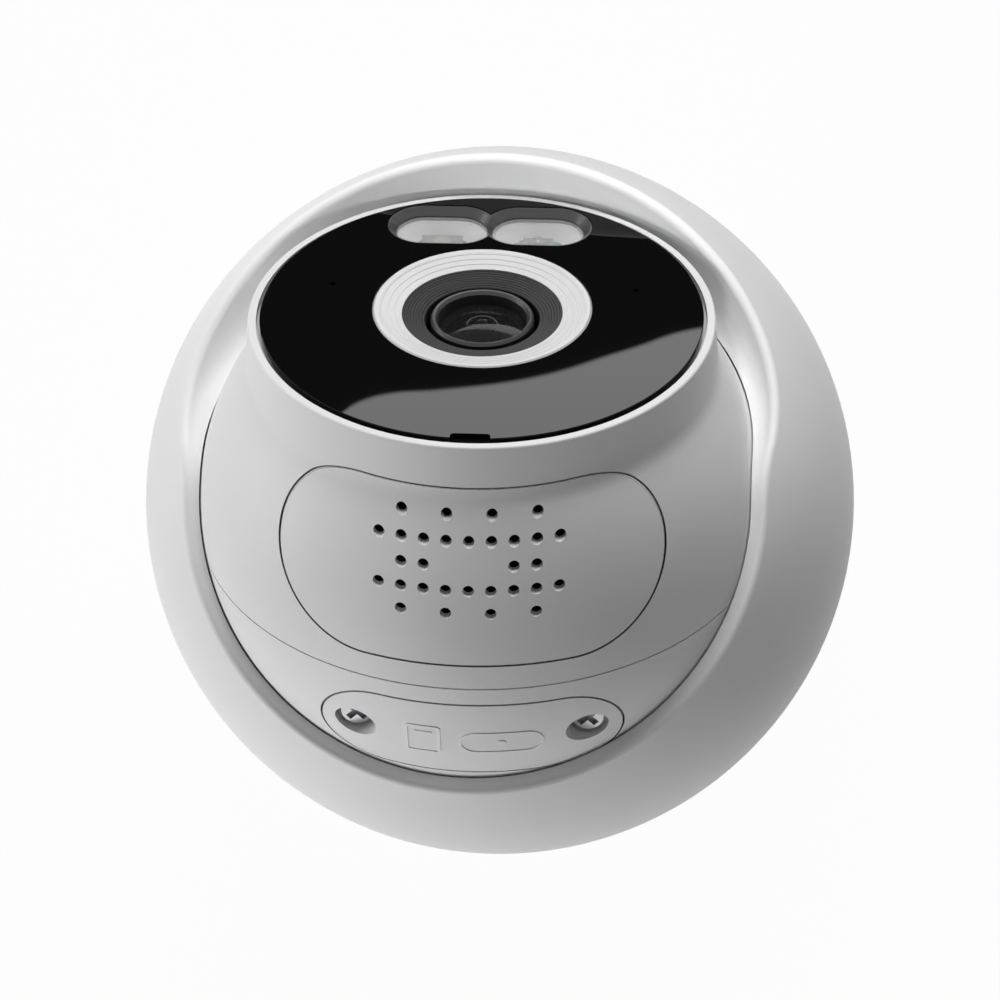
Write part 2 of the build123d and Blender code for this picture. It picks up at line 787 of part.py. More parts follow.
def make_lens_baffle():
    outer = ring_bore
    inner = lens_head_radius + baffle_gap
    top = glass_top - ring_dish - 0.1
    tread = (outer - inner) / baffle_steps
    riser = baffle_drop / baffle_steps
    points = [(inner, wall_back - 0.8), (outer, wall_back - 0.8), (outer, top)]
    for step in range(baffle_steps):
        edge = outer - (step + 1) * tread
        points.append((edge + 0.3 * tread, top - step * riser))
        points.append((edge, top - (step + 1) * riser))
    return in_ball(Pos(0, lens_y, 0) * turned(points))


def make_lens_barrel():
    shoulder = lens_top - 7
    bore = lens_thread_radius - 2
    inner = lens_glass_radius
    seat = lens_top - lens_stop_depth
    points = [(bore, lens_bottom), (lens_thread_radius, lens_bottom), (lens_thread_radius, shoulder),
              (lens_head_radius, shoulder + 0.6), (lens_head_radius, lens_top - 0.4),
              (lens_head_radius - 0.3, lens_top), (inner + 0.35, lens_top - 0.05), (inner, lens_top - 0.5),
              (inner, seat), (lens_stop_radius + 0.8, seat), (lens_stop_radius + 0.7, seat - 0.25),
              (lens_stop_radius, seat - 0.25), (lens_stop_radius, seat - 0.7), (bore, seat - 0.7)]
    return in_ball(Pos(0, lens_y, 0) * turned(points))


def make_front_lens():
    low = lens_top - lens_stop_depth
    top = low + 0.5 + lens_dome
    radius = lens_glass_radius - 0.03
    ball = (radius ** 2 + lens_dome ** 2) / (2 * lens_dome)
    body = rod(radius, low, top) & Pos(0, 0, top - ball) * Sphere(ball)
    return in_ball(Pos(0, lens_y, 0) * body)


def make_rear_lens():
    return in_ball(rod(lens_thread_radius - 2, lens_bottom + 1, lens_bottom + 4, 0, lens_y))


def make_lens_holder():
    half = holder_side / 2
    body = block(-half, half, lens_y - half, lens_y + half, sensor_board_top, holder_top)
    body -= rod(lens_thread_radius, sensor_board_top, holder_top, 0, lens_y)
    room = half - 2.5
    body -= block(-room, room, lens_y - room, lens_y + room, sensor_board_top, sensor_board_top + 4)
    return in_ball(body)


def make_ir_cut_filter():
    top = sensor_board_top + 4
    return in_ball(block(-6.2, 6.2, lens_y - 6.2, lens_y + 6.2, top - 0.6, top))


def make_image_sensor():
    return in_ball(block(-4, 4, lens_y - 3.5, lens_y + 3.5, sensor_board_top, sensor_board_top + 1))


def make_sensor_board():
    half = sensor_board_side / 2
    low = sensor_board_top - board_thickness
    body = block(-half, half, lens_y - half, lens_y + half, low, sensor_board_top)
    for x, y in sensor_post_places():
        body -= rod(board_screw_shank, low, sensor_board_top, x, y)
    return in_ball(body)


def make_window_frame():
    low = window_low
    body = lamp_frame_bar(-0.05, low, glass_top - 0.1)
    for side in (1, -1):
        x = side * window_pitch / 2
        body -= long_hole(window_length, window_height, low, glass_top, x, -frame_up)
        mouth = Pos(x, -frame_up, glass_top) * SlotOverall(
            frame_length - 2 * frame_edge, frame_height - 2 * frame_edge)
        throat = Pos(x, -frame_up, window_top + 0.2) * SlotOverall(window_length, window_height)
        body -= loft([throat, mouth])
    return in_ball(body)


def make_lamp_windows():
    return [in_ball(long_hole(window_length - 0.1, window_height - 0.1, window_low, window_top,
                              side * window_pitch / 2, -frame_up)) for side in (1, -1)]


def make_lamp_reflectors():
    group = []
    for side in (1, -1):
        x = side * window_pitch / 2
        body = long_hole(window_length + 0.3, window_height + 0.3, reflector_low, window_low, x, -frame_up)
        mouth = Pos(x, -frame_up, window_low) * SlotOverall(window_length - 0.8, window_height - 0.8)
        throat = Pos(x, -frame_up, reflector_low) * SlotOverall(8.0, 5.0)
        group.append(in_ball(body - loft([throat, mouth])))
    return group


def make_lamp_board():
    half = lamp_post_across + 2
    low = reflector_low - board_thickness
    body = block(-half, half, -frame_up - frame_height / 2, -frame_up + frame_height / 2 + 0.4, low, reflector_low)
    room = math.sqrt(ball_inside ** 2 - reflector_low ** 2) - running_gap
    body &= rod(room, low, reflector_low) + lamp_frame_bar(-running_gap, low, reflector_low)
    for x, y in lamp_post_places():
        body -= rod(board_screw_shank, 0, barrel_height, x, y)
    return in_ball(body)


def make_white_led():
    x = window_pitch / 2
    body = block(x - 3.1, x + 3.1, -frame_up - 1.7, -frame_up + 1.7, reflector_low, reflector_low + 1.0)
    return in_ball(body)


def make_infrared_led():
    x = -window_pitch / 2
    body = block(x - 2.3, x + 2.3, -frame_up - 1.7, -frame_up + 1.7, reflector_low, reflector_low + 0.8)
    dome = Pos(x, -frame_up, reflector_low + 0.4) * Sphere(1.5)
    return in_ball(body + (dome & rod(2, reflector_low, window_low, x, -frame_up)))


def make_microphone():
    return in_ball(rod(2.4, wall_back - 2, wall_back, -pinhole_across, -pinhole_up))


def make_light_sensor():
    return in_ball(rod(1.6, wall_back - 1.6, wall_back, pinhole_across, -pinhole_up))


# Speaker

speaker_pattern = [(-2, (-3, -1, 1, 3)), (-1, range(-4, 5)), (0, (-3, -2, 2, 3)),
                   (1, range(-4, 5)), (2, (-3, -1, 1, 3))]


def make_speaker_panel():
    body = ball_outside() & panel_prism(0, 10)
    body -= Rot(Z=90) * Sphere(ball_radius - panel_thickness)
    for row, columns in speaker_pattern:
        for column in columns:
            body -= rod_y(hole_radius, 10, ball_radius + 5, column * hole_pitch_across,
                          hole_centre - row * hole_pitch_down)
    return in_ball(body)


def make_speaker_driver():
    low = speaker_front - speaker_depth
    body = speaker_bar(0, speaker_front - 2, speaker_front)
    body += speaker_bar(3, low, speaker_front - 2)
    return in_ball(body - speaker_bar(speaker_edge - 0.3, speaker_front - 1.5, speaker_front))


def make_speaker_cone():
    body = speaker_bar(speaker_edge - 0.3, speaker_front - 1.5, speaker_front - 0.3)
    mouth = Plane((0, speaker_front - 0.3, hole_centre), x_dir=(1, 0, 0), z_dir=(0, 1, 0)) * SlotOverall(
        speaker_length - 8, speaker_height - 8)
    throat = Plane((0, speaker_front - 1.2, hole_centre), x_dir=(1, 0, 0), z_dir=(0, 1, 0)) * SlotOverall(
        speaker_length - 16, speaker_height - 16)
    return in_ball(body - loft([throat, mouth]))


def make_speaker_gasket():
    body = speaker_bar(0, speaker_front, ball_radius)
    body -= speaker_bar(speaker_edge, 0, ball_radius)
    body &= Rot(Z=90) * Sphere(ball_inside)
    return in_ball(body & block(-ball_radius, ball_radius, 0, ball_radius, -ball_radius, wall_back - 0.2))


# Boards, card and reset

board_low = main_board_top - board_thickness
card_middle = board_low - 1.4
socket_low = board_low - 2.5
reset_low = board_low - 3.0
reset_middle = board_low - 1.6


def make_main_board():
    body = rod(main_board_radius, board_low, main_board_top)
    for x, y, _ in main_post_places():
        body -= rod(board_screw_shank, board_low, main_board_top, x, y)
    for x, y, _ in ball_screw_places():
        body -= rod(ball_screw_boss + 0.6, board_low, main_board_top, x, y)
    for side in (1, -1):
        body -= rod_y(counterbore_radius + 2.1, 10, ball_radius, side * cover_screw_across, cover_screw_centre)
    return in_ball(body)


def make_board_screws():
    group = []
    for x, y, _ in main_post_places():
        head = rod(board_screw_head, main_board_top, main_board_top + board_screw_head_height, x, y)
        group.append(in_ball(head + rod(board_screw_shank, board_low - 5, main_board_top, x, y)))
    under = sensor_board_top - board_thickness
    for x, y in sensor_post_places():
        head = rod(board_screw_head, under - board_screw_head_height, under, x, y)
        group.append(in_ball(head + rod(board_screw_shank, under, sensor_board_top + 4, x, y)))
    under = reflector_low - board_thickness
    for x, y in lamp_post_places():
        head = rod(board_screw_head, under - board_screw_head_height, under, x, y)
        group.append(in_ball(head + rod(board_screw_shank, under, wall_back - 0.3, x, y)))
    return group


def make_heat_sink():
    half = holder_side / 2
    fin_top = sensor_board_top - board_thickness - 4.5
    body = block(-half, half, -half, half, main_board_top, main_board_top + 1.5)
    for fin in range(5):
        x = -half + 0.5 + fin * (holder_side - 1) / 4
        body += block(x - 0.5, x + 0.5, -half, half, main_board_top, fin_top)
    return in_ball(body)


def make_wifi_module():
    outer = main_board_radius - 5
    return in_ball(block(-outer, -outer + 15, -3, 9, main_board_top, main_board_top + 2.2))


def make_wifi_antenna():
    y = 5 - main_board_radius
    return in_ball(block(-10, 10, y, y + 0.8, main_board_top, main_board_top + 9))


def make_sensor_ribbon():
    y = lens_y - sensor_board_side / 2 + 3
    return in_ball(block(-5, 5, y, y + 0.3, main_board_top, sensor_board_top - board_thickness))


def make_card_socket():
    half = card_width / 2 + 1.2
    front = card_end - 3
    back = front - card_length
    body = block(socket_across - half, socket_across + half, back, front, socket_low, board_low)
    slot = card_width / 2 + running_gap
    thick = card_thickness / 2 + running_gap
    body -= block(socket_across - slot, socket_across + slot, card_end - card_length - card_travel - 0.2, front,
                  card_middle - thick, card_middle + thick)
    return in_ball(body)


def make_micro_sd_card():
    half = card_width / 2
    thick = card_thickness / 2
    body = block(socket_across - half, socket_across + half, card_end - card_length, card_end,
                 card_middle - thick, card_middle + thick)
    notch = block(socket_across + half - 0.7, socket_across + half, card_end - card_length, card_end - 7,
                  card_middle - 1, card_middle + 1)
    return in_ball(body - notch)


def make_reset_switch():
    half = 3.0
    body = block(reset_across - half, reset_across + half, switch_front - 4, switch_front, reset_low, board_low)
    return in_ball(body - rod_y(1.05, switch_front - 2, switch_front, reset_across, reset_middle))


def make_reset_button():
    return in_ball(rod_y(1.0, switch_front - 2 + reset_travel + 0.2, switch_front + 3, reset_across, reset_middle))


def make_card_cover():
    inner = ball_radius - cover_thickness
    body = Rot(Z=90) * Sphere(ball_radius) & cover_prism(0, 10)
    body -= Rot(Z=90) * Sphere(inner)
    for side in (1, -1):
        x = side * cover_screw_across
        boss = rod_y(counterbore_radius + 0.8, cover_screw_seat - 1, ball_radius, x, cover_screw_centre)
        body += boss & Rot(Z=90) * Sphere(ball_radius)
    for side in (1, -1):
        x = side * cover_screw_across
        body -= rod_y(counterbore_radius, cover_screw_seat, ball_radius, x, cover_screw_centre)
        body -= rod_y(cover_screw_shank, 10, ball_radius, x, cover_screw_centre)
    return in_ball(body)


def make_cover_gasket():
    low = ball_radius - cover_thickness - cover_seal
    body = Rot(Z=90) * Sphere(ball_radius - cover_thickness) - Rot(Z=90) * Sphere(low)
    body &= cover_prism(-0.6, 10) - cover_prism(-2.6)
    for side in (1, -1):
        body -= rod_y(counterbore_radius + 1.1, 10, ball_radius, side * cover_screw_across, cover_screw_centre)
    return in_ball(body)


def make_cover_screws():
    group = []
    for side in (1, -1):
        x = side * cover_screw_across
        z = cover_screw_centre
        seat = cover_screw_seat
        head = rod_y(cover_screw_head, seat, seat + 1.5, x, z)
        head += rod_y(cover_screw_shank, seat - 5.5, seat, x, z)
        for turn in (45, -45):
            arm = block(-1.8, 1.8, seat + 0.5, seat + 2, -0.5, 0.5)
            head -= Pos(x, 0, z) * Rot(Y=turn) * arm
        group.append(in_ball(head))
    return group


pieces = {
    "mount_gasket": make_mount_gasket,
    "mount_plate": make_mount_plate,
    "glide_ring": make_glide_ring,
    "pan_wave_washer": make_pan_wave_washer,
    "pan_retainer": make_pan_retainer,
    "retainer_screws": make_retainer_screws,
    "power_jack": make_power_jack,
    "swivel_ring": make_swivel_ring,
    "cradle_posts": make_cradle_posts,
    "post_screws": make_post_screws,
    "tilt_bushes": make_tilt_bushes,
    "tilt_washers": make_tilt_washers,
    "outer_shell": make_outer_shell,
    "shell_screws": make_shell_screws,
    "tilt_yoke": make_tilt_yoke,
    "tilt_pins": make_tilt_pins,
    "spindle_bush": make_spindle_bush,
    "spin_washer": make_spin_washer,
    "rear_spindle": make_rear_spindle,
    "spindle_nut": make_spindle_nut,
    "ball_front_shell": make_ball_front_shell,
    "ball_rear_shell": make_ball_rear_shell,
    "shell_seal": make_shell_seal,
    "ball_screws": make_ball_screws,
    "front_glass": make_front_glass,
    "glass_tape": make_glass_tape,
    "lens_ring": make_lens_ring,
    "lens_baffle": make_lens_baffle,
    "lens_barrel": make_lens_barrel,
    "front_lens": make_front_lens,
    "rear_lens": make_rear_lens,
    "lens_holder": make_lens_holder,
    "ir_cut_filter": make_ir_cut_filter,
    "image_sensor": make_image_sensor,
    "sensor_board": make_sensor_board,
    "window_frame": make_window_frame,
    "lamp_windows": make_lamp_windows,
    "lamp_reflectors": make_lamp_reflectors,
    "lamp_board": make_lamp_board,
    "white_led": make_white_led,
    "infrared_led": make_infrared_led,
    "microphone": make_microphone,
    "light_sensor": make_light_sensor,
    "speaker_panel": make_speaker_panel,
    "speaker_driver": make_speaker_driver,
    "speaker_cone": make_speaker_cone,
    "speaker_gasket": make_speaker_gasket,
    "main_board": make_main_board,
    "board_screws": make_board_screws,
    "heat_sink": make_heat_sink,
    "wifi_module": make_wifi_module,
    "wifi_antenna": make_wifi_antenna,
    "sensor_ribbon": make_sensor_ribbon,
    "card_socket": make_card_socket,
    "reset_switch": make_reset_switch,
    "card_cover": make_card_cover,
    "cover_gasket": make_cover_gasket,
    "cover_screws": make_cover_screws,
    "micro_sd_card": make_micro_sd_card,
    "reset_button": make_reset_button,
}

if __name__ == "__main__":
    os.makedirs("parts", exist_ok=True)
    for name, make in pieces.items():
        shape = make()
        whole = Compound(children=shape) if isinstance(shape, list) else shape
        export_step(whole, f"parts/{name}.step")
        count = len(shape) if isinstance(shape, list) else len(shape.solids())
        print(name, count, whole.is_valid, round(whole.volume))
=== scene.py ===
"""Wireless security camera of the eyeball kind, lying on its mounting plate and seen from above."""
import bpy
import json
import math
from mathutils import Matrix, Vector


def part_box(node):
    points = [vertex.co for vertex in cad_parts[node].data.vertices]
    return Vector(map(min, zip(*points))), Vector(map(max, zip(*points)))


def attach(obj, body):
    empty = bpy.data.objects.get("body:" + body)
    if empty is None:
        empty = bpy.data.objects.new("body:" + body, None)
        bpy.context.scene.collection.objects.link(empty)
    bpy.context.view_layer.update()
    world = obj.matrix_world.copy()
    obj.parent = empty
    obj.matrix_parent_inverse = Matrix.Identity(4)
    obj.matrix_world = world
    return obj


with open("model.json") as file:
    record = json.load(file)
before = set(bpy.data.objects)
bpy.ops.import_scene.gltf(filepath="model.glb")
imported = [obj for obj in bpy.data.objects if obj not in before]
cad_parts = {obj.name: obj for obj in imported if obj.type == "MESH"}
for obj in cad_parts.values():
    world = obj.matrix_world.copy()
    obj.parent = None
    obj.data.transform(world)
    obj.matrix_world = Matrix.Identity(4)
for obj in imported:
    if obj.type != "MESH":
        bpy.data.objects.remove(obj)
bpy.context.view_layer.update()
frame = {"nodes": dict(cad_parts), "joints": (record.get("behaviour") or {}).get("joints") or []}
node = frame["nodes"]


# The photograph is taken with a long lens from above the camera's face, a little to its left.
# The picture's up is the way the scoop faces, so the lens hangs over the object, rolled a little.
MM = 0.001
view_centre = Vector((0.0, 0.0, 30.0)) * MM
view_distance = 633.2 * MM
view_yaw = math.radians(6.98)
view_pitch = math.radians(-0.50)
view_roll = math.radians(4.62)
outer_sphere_radius = 55.0 * MM
photo_size = 1000
sphere_in_photo = 354.0
sensor_width = 36.0

away = Vector((-math.sin(view_yaw) * math.cos(view_pitch), math.sin(view_pitch),
               math.cos(view_yaw) * math.cos(view_pitch)))
level_right = (-away).cross(Vector((0, -1, 0))).normalized()
level_up = level_right.cross(-away)
picture_right = math.cos(view_roll) * level_right + math.sin(view_roll) * level_up
picture_up = math.cos(view_roll) * level_up - math.sin(view_roll) * level_right
focal_pixels = sphere_in_photo / math.tan(math.asin(outer_sphere_radius / view_distance))

camera_data = bpy.data.cameras.new("photo_camera")
camera_data.sensor_width = sensor_width
camera_data.lens = focal_pixels * sensor_width / photo_size
camera_data.clip_start = 0.01
camera = bpy.data.objects.new("photo_camera", camera_data)
bpy.context.scene.collection.objects.link(camera)
camera.matrix_world = Matrix.Translation(view_centre + view_distance * away) @ Matrix(
    (picture_right, picture_up, away)).transposed().to_4x4()
bpy.context.scene.camera = camera
bpy.context.scene.view_settings.view_transform = "Standard"


# The object lies on a large white table top, lit from outside the picture.
# The table is white to the lens and in reflections, and a pale grey to the light that falls on it.
floor_size = 6.0
floor_grey = 0.85
floor_seen_light = 0.97
room_light = 0.01

bpy.ops.object.select_all(action="DESELECT")
bpy.ops.mesh.primitive_plane_add(size=floor_size, location=(0, 0, 0))
floor = bpy.context.object
floor.name = "floor"


def seen_white(nodes, links):
    """One where a ray comes from the lens, a mirror or a glass, and nought where it carries light."""
    path = nodes.new("ShaderNodeLightPath")
    first = nodes.new("ShaderNodeMath")
    first.operation = "MAXIMUM"
    second = nodes.new("ShaderNodeMath")
    second.operation = "MAXIMUM"
    links.new(path.outputs["Is Camera Ray"], first.inputs[0])
    links.new(path.outputs["Is Glossy Ray"], first.inputs[1])
    links.new(first.outputs[0], second.inputs[0])
    links.new(path.outputs["Is Transmission Ray"], second.inputs[1])
    return second.outputs[0]


floor_material = bpy.data.materials.new("white_table")
floor_material.use_nodes = True
nodes = floor_material.node_tree.nodes
links = floor_material.node_tree.links
nodes.clear()
floor_out = nodes.new("ShaderNodeOutputMaterial")
floor_mix = nodes.new("ShaderNodeMixShader")
floor_diffuse = nodes.new("ShaderNodeBsdfDiffuse")
floor_diffuse.inputs["Color"].default_value = (floor_grey, floor_grey, floor_grey, 1)
floor_glow = nodes.new("ShaderNodeEmission")
share = nodes.new("ShaderNodeMath")
share.operation = "MULTIPLY"
share.inputs[1].default_value = floor_seen_light
links.new(seen_white(nodes, links), share.inputs[0])
links.new(share.outputs[0], floor_mix.inputs["Fac"])
links.new(floor_diffuse.outputs[0], floor_mix.inputs[1])
links.new(floor_glow.outputs[0], floor_mix.inputs[2])
links.new(floor_mix.outputs[0], floor_out.inputs["Surface"])
floor.data.materials.append(floor_material)

world = bpy.data.worlds.new("studio")
bpy.context.scene.world = world
world.use_nodes = True
nodes = world.node_tree.nodes
links = world.node_tree.links
nodes.clear()
world_out = nodes.new("ShaderNodeOutputWorld")
world_mix = nodes.new("ShaderNodeMixShader")
world_light = nodes.new("ShaderNodeBackground")
world_light.inputs["Strength"].default_value = room_light
world_light.inputs["Color"].default_value = (1.0, 1.0, 1.0, 1)
world_seen = nodes.new("ShaderNodeBackground")
world_seen.inputs["Color"].default_value = (1.0, 1.0, 1.0, 1)
world_seen.inputs["Strength"].default_value = 1.0
links.new(seen_white(nodes, links), world_mix.inputs["Fac"])
links.new(world_light.outputs[0], world_mix.inputs[1])
links.new(world_seen.outputs[0], world_mix.inputs[2])
links.new(world_mix.outputs[0], world_out.inputs["Surface"])


# Soft boxes stand low at the top, the left and the lower left of the picture, and a weak one by the lens.
# The lower right of the camera falls off to grey, as it does in the photograph.
box_width = 0.9
box_distance = 1.2


def compass(azimuth, elevation):
    """Direction away from the object, in degrees round from +X and degrees up."""
    turn = math.radians(azimuth)
    lift = math.radians(elevation)
    return Vector((math.cos(turn) * math.cos(lift), math.sin(turn) * math.cos(lift), math.sin(lift)))


def soft_box(name, azimuth, elevation, height, watts):
    """Rectangular lamp that faces the object, given in degrees, metres and watts."""
    direction = compass(azimuth, elevation)
    lamp_data = bpy.data.lights.new(name, "AREA")
    lamp_data.shape = "RECTANGLE"
    lamp_data.size = box_width
    lamp_data.size_y = height
    lamp_data.energy = watts
    lamp = bpy.data.objects.new(name, lamp_data)
    bpy.context.scene.collection.objects.link(lamp)
    lamp.location = view_centre + box_distance * direction
    lamp.rotation_euler = direction.to_track_quat("Z", "Y").to_euler()


soft_box("left_box", azimuth=0, elevation=10, height=0.32, watts=5.6)
soft_box("corner_box", azimuth=70, elevation=5, height=0.2, watts=6.4)
soft_box("top_box", azimuth=268, elevation=30, height=0.55, watts=11.6)
soft_box("lens_box", azimuth=90, elevation=70, height=0.55, watts=0.9)


# Two small spots fill the scoop, which the photograph shows almost without shading.
# They are linked to the outer shell alone, so that the ball keeps its own shadows.
spot_distance = 0.8
spot_radius = 0.04
spot_blend = 0.6
scoop_only = bpy.data.collections.new("scoop_only")
scoop_only.objects.link(node["outer_shell"])


def scoop_spot(name, azimuth, elevation, target, cone, watts):
    """Narrow lamp on one part of the scoop, given in degrees, millimetres and watts."""
    direction = compass(azimuth, elevation)
    lamp_data = bpy.data.lights.new(name, "SPOT")
    lamp_data.energy = watts
    lamp_data.spot_size = math.radians(cone)
    lamp_data.spot_blend = spot_blend
    lamp_data.shadow_soft_size = spot_radius
    lamp = bpy.data.objects.new(name, lamp_data)
    bpy.context.scene.collection.objects.link(lamp)
    lamp.location = Vector(target) * MM + spot_distance * direction
    lamp.rotation_euler = direction.to_track_quat("Z", "Y").to_euler()
    lamp.light_linking.receiver_collection = scoop_only


scoop_spot("scoop_lamp", azimuth=60, elevation=80, target=(0.0, -30.0, 62.0), cone=7.0, watts=9.5)
scoop_spot("scoop_top_lamp", azimuth=95, elevation=66, target=(-12.0, -48.0, 72.0), cone=4.5, watts=26.0)


# One card lies on the table in front of the scoop, where the polished face mirrors it.
# Its near part is black felt and its far part a bright panel, so the face shows a curved edge.
card_half = 170.0
card_near = -62.0
card_far = -420.0
card_height = 2.0
panel_strength = 6.0
panel_edge_blur = 0.006
# Points on the edge of the felt: across the card and away from the scoop, in millimetres
felt_edge = [(-170, -180), (-50, -188), (-19, -196), (-3, -211), (17, -230), (37, -241), (47, -245),
             (54, -251), (62, -264), (170, -400)]
card_middle = (card_near + card_far) / 2
card_depth = card_near - card_far

bpy.ops.object.select_all(action="DESELECT")
bpy.ops.mesh.primitive_plane_add(size=1.0, location=(0, 0, 0))
mirror_card = bpy.context.object
mirror_card.name = "mirror_card"
bpy.ops.object.mode_set(mode="EDIT")
bpy.ops.mesh.select_all(action="SELECT")
bpy.ops.transform.resize(value=(2 * card_half * MM, card_depth * MM, 1.0), center_override=(0, 0, 0))
bpy.ops.transform.translate(value=(0.0, card_middle * MM, card_height * MM))
bpy.ops.object.mode_set(mode="OBJECT")
mirror_card.visible_camera = False
mirror_card.visible_diffuse = False
mirror_card.visible_transmission = False
mirror_card.visible_shadow = False

card_material = bpy.data.materials.new("mirror_card")
card_material.use_nodes = True
nodes = card_material.node_tree.nodes
links = card_material.node_tree.links
nodes.clear()
card_place = nodes.new("ShaderNodeTexCoord")
card_axes = nodes.new("ShaderNodeSeparateXYZ")
card_across = nodes.new("ShaderNodeMapRange")
card_across.inputs["From Min"].default_value = -card_half * MM
card_across.inputs["From Max"].default_value = card_half * MM
card_edge = nodes.new("ShaderNodeFloatCurve")
edge_line = card_edge.mapping.curves[0]
for x, y in felt_edge[1:-1]:
    edge_line.points.new((x + card_half) / (2 * card_half), (card_near - y) / card_depth)
edge_line.points[0].location = (0.0, (card_near - felt_edge[0][1]) / card_depth)
edge_line.points[-1].location = (1.0, (card_near - felt_edge[-1][1]) / card_depth)
card_edge.mapping.update()
card_away = nodes.new("ShaderNodeMapRange")
card_away.inputs["From Min"].default_value = card_near * MM
card_away.inputs["From Max"].default_value = card_far * MM
beyond = nodes.new("ShaderNodeMath")
beyond.operation = "SUBTRACT"
soft_edge = nodes.new("ShaderNodeMapRange")
soft_edge.inputs["From Min"].default_value = 0.0
soft_edge.inputs["From Max"].default_value = panel_edge_blur
soft_edge.inputs["To Max"].default_value = panel_strength
card_glow = nodes.new("ShaderNodeEmission")
card_out = nodes.new("ShaderNodeOutputMaterial")
links.new(card_place.outputs["Object"], card_axes.inputs["Vector"])
links.new(card_axes.outputs["X"], card_across.inputs["Value"])
links.new(card_across.outputs["Result"], card_edge.inputs["Value"])
links.new(card_axes.outputs["Y"], card_away.inputs["Value"])
links.new(card_away.outputs["Result"], beyond.inputs[0])
links.new(card_edge.outputs["Value"], beyond.inputs[1])
links.new(beyond.outputs[0], soft_edge.inputs["Value"])
links.new(soft_edge.outputs["Result"], card_glow.inputs["Strength"])
links.new(card_glow.outputs[0], card_out.inputs["Surface"])
mirror_card.data.materials.append(card_material)


# The gasket under the mounting plate is a flat ring of black EPDM rubber with a talc-dull skin.
# It is die cut from sheet, pressed into a groove of the plate, and keeps water out of the wall box.
def new_group(name, inputs, outputs):
    """Node group with named sockets: colours end in Color, places are vectors, the rest are values."""
    group = bpy.data.node_groups.new(name, "ShaderNodeTree")
    for side, names in (("INPUT", inputs), ("OUTPUT", outputs)):
        for socket in names:
            kind = "NodeSocketFloat"
            if socket.endswith("Color"):
                kind = "NodeSocketColor"
            if socket in ("Centre", "Vector"):
                kind = "NodeSocketVector"
            group.interface.new_socket(name=socket, in_out=side, socket_type=kind)
    return group, group.nodes.new("NodeGroupInput"), group.nodes.new("NodeGroupOutput")


def make_mould_grain():
    """Group for moulded parts: fine spark grain, slow clouds of shade, and uneven sheen."""
    group, inside, outside = new_group(
        "mould_grain", ("Color", "Variation", "Roughness", "Roughness Spread", "Grain Scale"),
        ("Color", "Roughness", "Height"))
    nodes = group.nodes
    links = group.links
    place = nodes.new("ShaderNodeTexCoord")
    grain = nodes.new("ShaderNodeTexNoise")
    grain.inputs["Detail"].default_value = 2.0
    cloud = nodes.new("ShaderNodeTexNoise")
    cloud.inputs["Scale"].default_value = 45.0
    cloud.inputs["Detail"].default_value = 3.0
    shade = nodes.new("ShaderNodeMapRange")
    shade.inputs["From Min"].default_value = 0.3
    shade.inputs["From Max"].default_value = 0.7
    shade.inputs["To Max"].default_value = 1.0
    darker = nodes.new("ShaderNodeMath")
    darker.operation = "SUBTRACT"
    darker.inputs[0].default_value = 1.0
    tint = nodes.new("ShaderNodeMix")
    tint.data_type = "RGBA"
    tint.blend_type = "MULTIPLY"
    tint.inputs["Factor"].default_value = 1.0
    rougher = nodes.new("ShaderNodeMath")
    rougher.operation = "MULTIPLY_ADD"
    links.new(place.outputs["Object"], grain.inputs["Vector"])
    links.new(place.outputs["Object"], cloud.inputs["Vector"])
    links.new(inside.outputs["Grain Scale"], grain.inputs["Scale"])
    links.new(cloud.outputs["Fac"], shade.inputs["Value"])
    links.new(inside.outputs["Variation"], darker.inputs[1])
    links.new(darker.outputs[0], shade.inputs["To Min"])
    links.new(inside.outputs["Color"], tint.inputs["A"])
    links.new(shade.outputs["Result"], tint.inputs["B"])
    links.new(tint.outputs["Result"], outside.inputs["Color"])
    links.new(grain.outputs["Fac"], rougher.inputs[0])
    links.new(inside.outputs["Roughness Spread"], rougher.inputs[1])
    links.new(inside.outputs["Roughness"], rougher.inputs[2])
    links.new(rougher.outputs[0], outside.inputs["Roughness"])
    links.new(grain.outputs["Fac"], outside.inputs["Height"])
    return group


mould_grain = make_mould_grain()


def moulded(name, colour, roughness, grain_scale=2600.0, grain_depth=0.02, variation=0.03, specular=0.5,
            spread=0.10):
    """Moulded plastic or rubber: the grain group feeds one Principled shader. Depth in millimetres."""
    material = bpy.data.materials.new(name)
    material.use_nodes = True
    nodes = material.node_tree.nodes
    links = material.node_tree.links
    shader = nodes["Principled BSDF"]
    shader.inputs["Specular IOR Level"].default_value = specular
    grain = nodes.new("ShaderNodeGroup")
    grain.name = "grain"
    grain.node_tree = mould_grain
    grain.inputs["Color"].default_value = (*colour, 1)
    grain.inputs["Variation"].default_value = variation
    grain.inputs["Roughness"].default_value = roughness
    grain.inputs["Roughness Spread"].default_value = spread
    grain.inputs["Grain Scale"].default_value = grain_scale
    bump = nodes.new("ShaderNodeBump")
    bump.name = "bump"
    bump.inputs["Distance"].default_value = grain_depth * MM
    bump.inputs["Strength"].default_value = 0.6
    links.new(grain.outputs["Color"], shader.inputs["Base Color"])
    links.new(grain.outputs["Roughness"], shader.inputs["Roughness"])
    links.new(grain.outputs["Height"], bump.inputs["Height"])
    links.new(bump.outputs["Normal"], shader.inputs["Normal"])
    return material


def dress(material, *names):
    """Give nodes of the frame one finish."""
    for name in names:
        mesh = node[name].data
        mesh.materials.clear()
        mesh.materials.append(material)


rubber_black = moulded("rubber_black", (0.03, 0.03, 0.03), roughness=0.72, grain_scale=1400.0,
                       grain_depth=0.04, variation=0.15, specular=0.3)
dress(rubber_black, "mount_gasket")

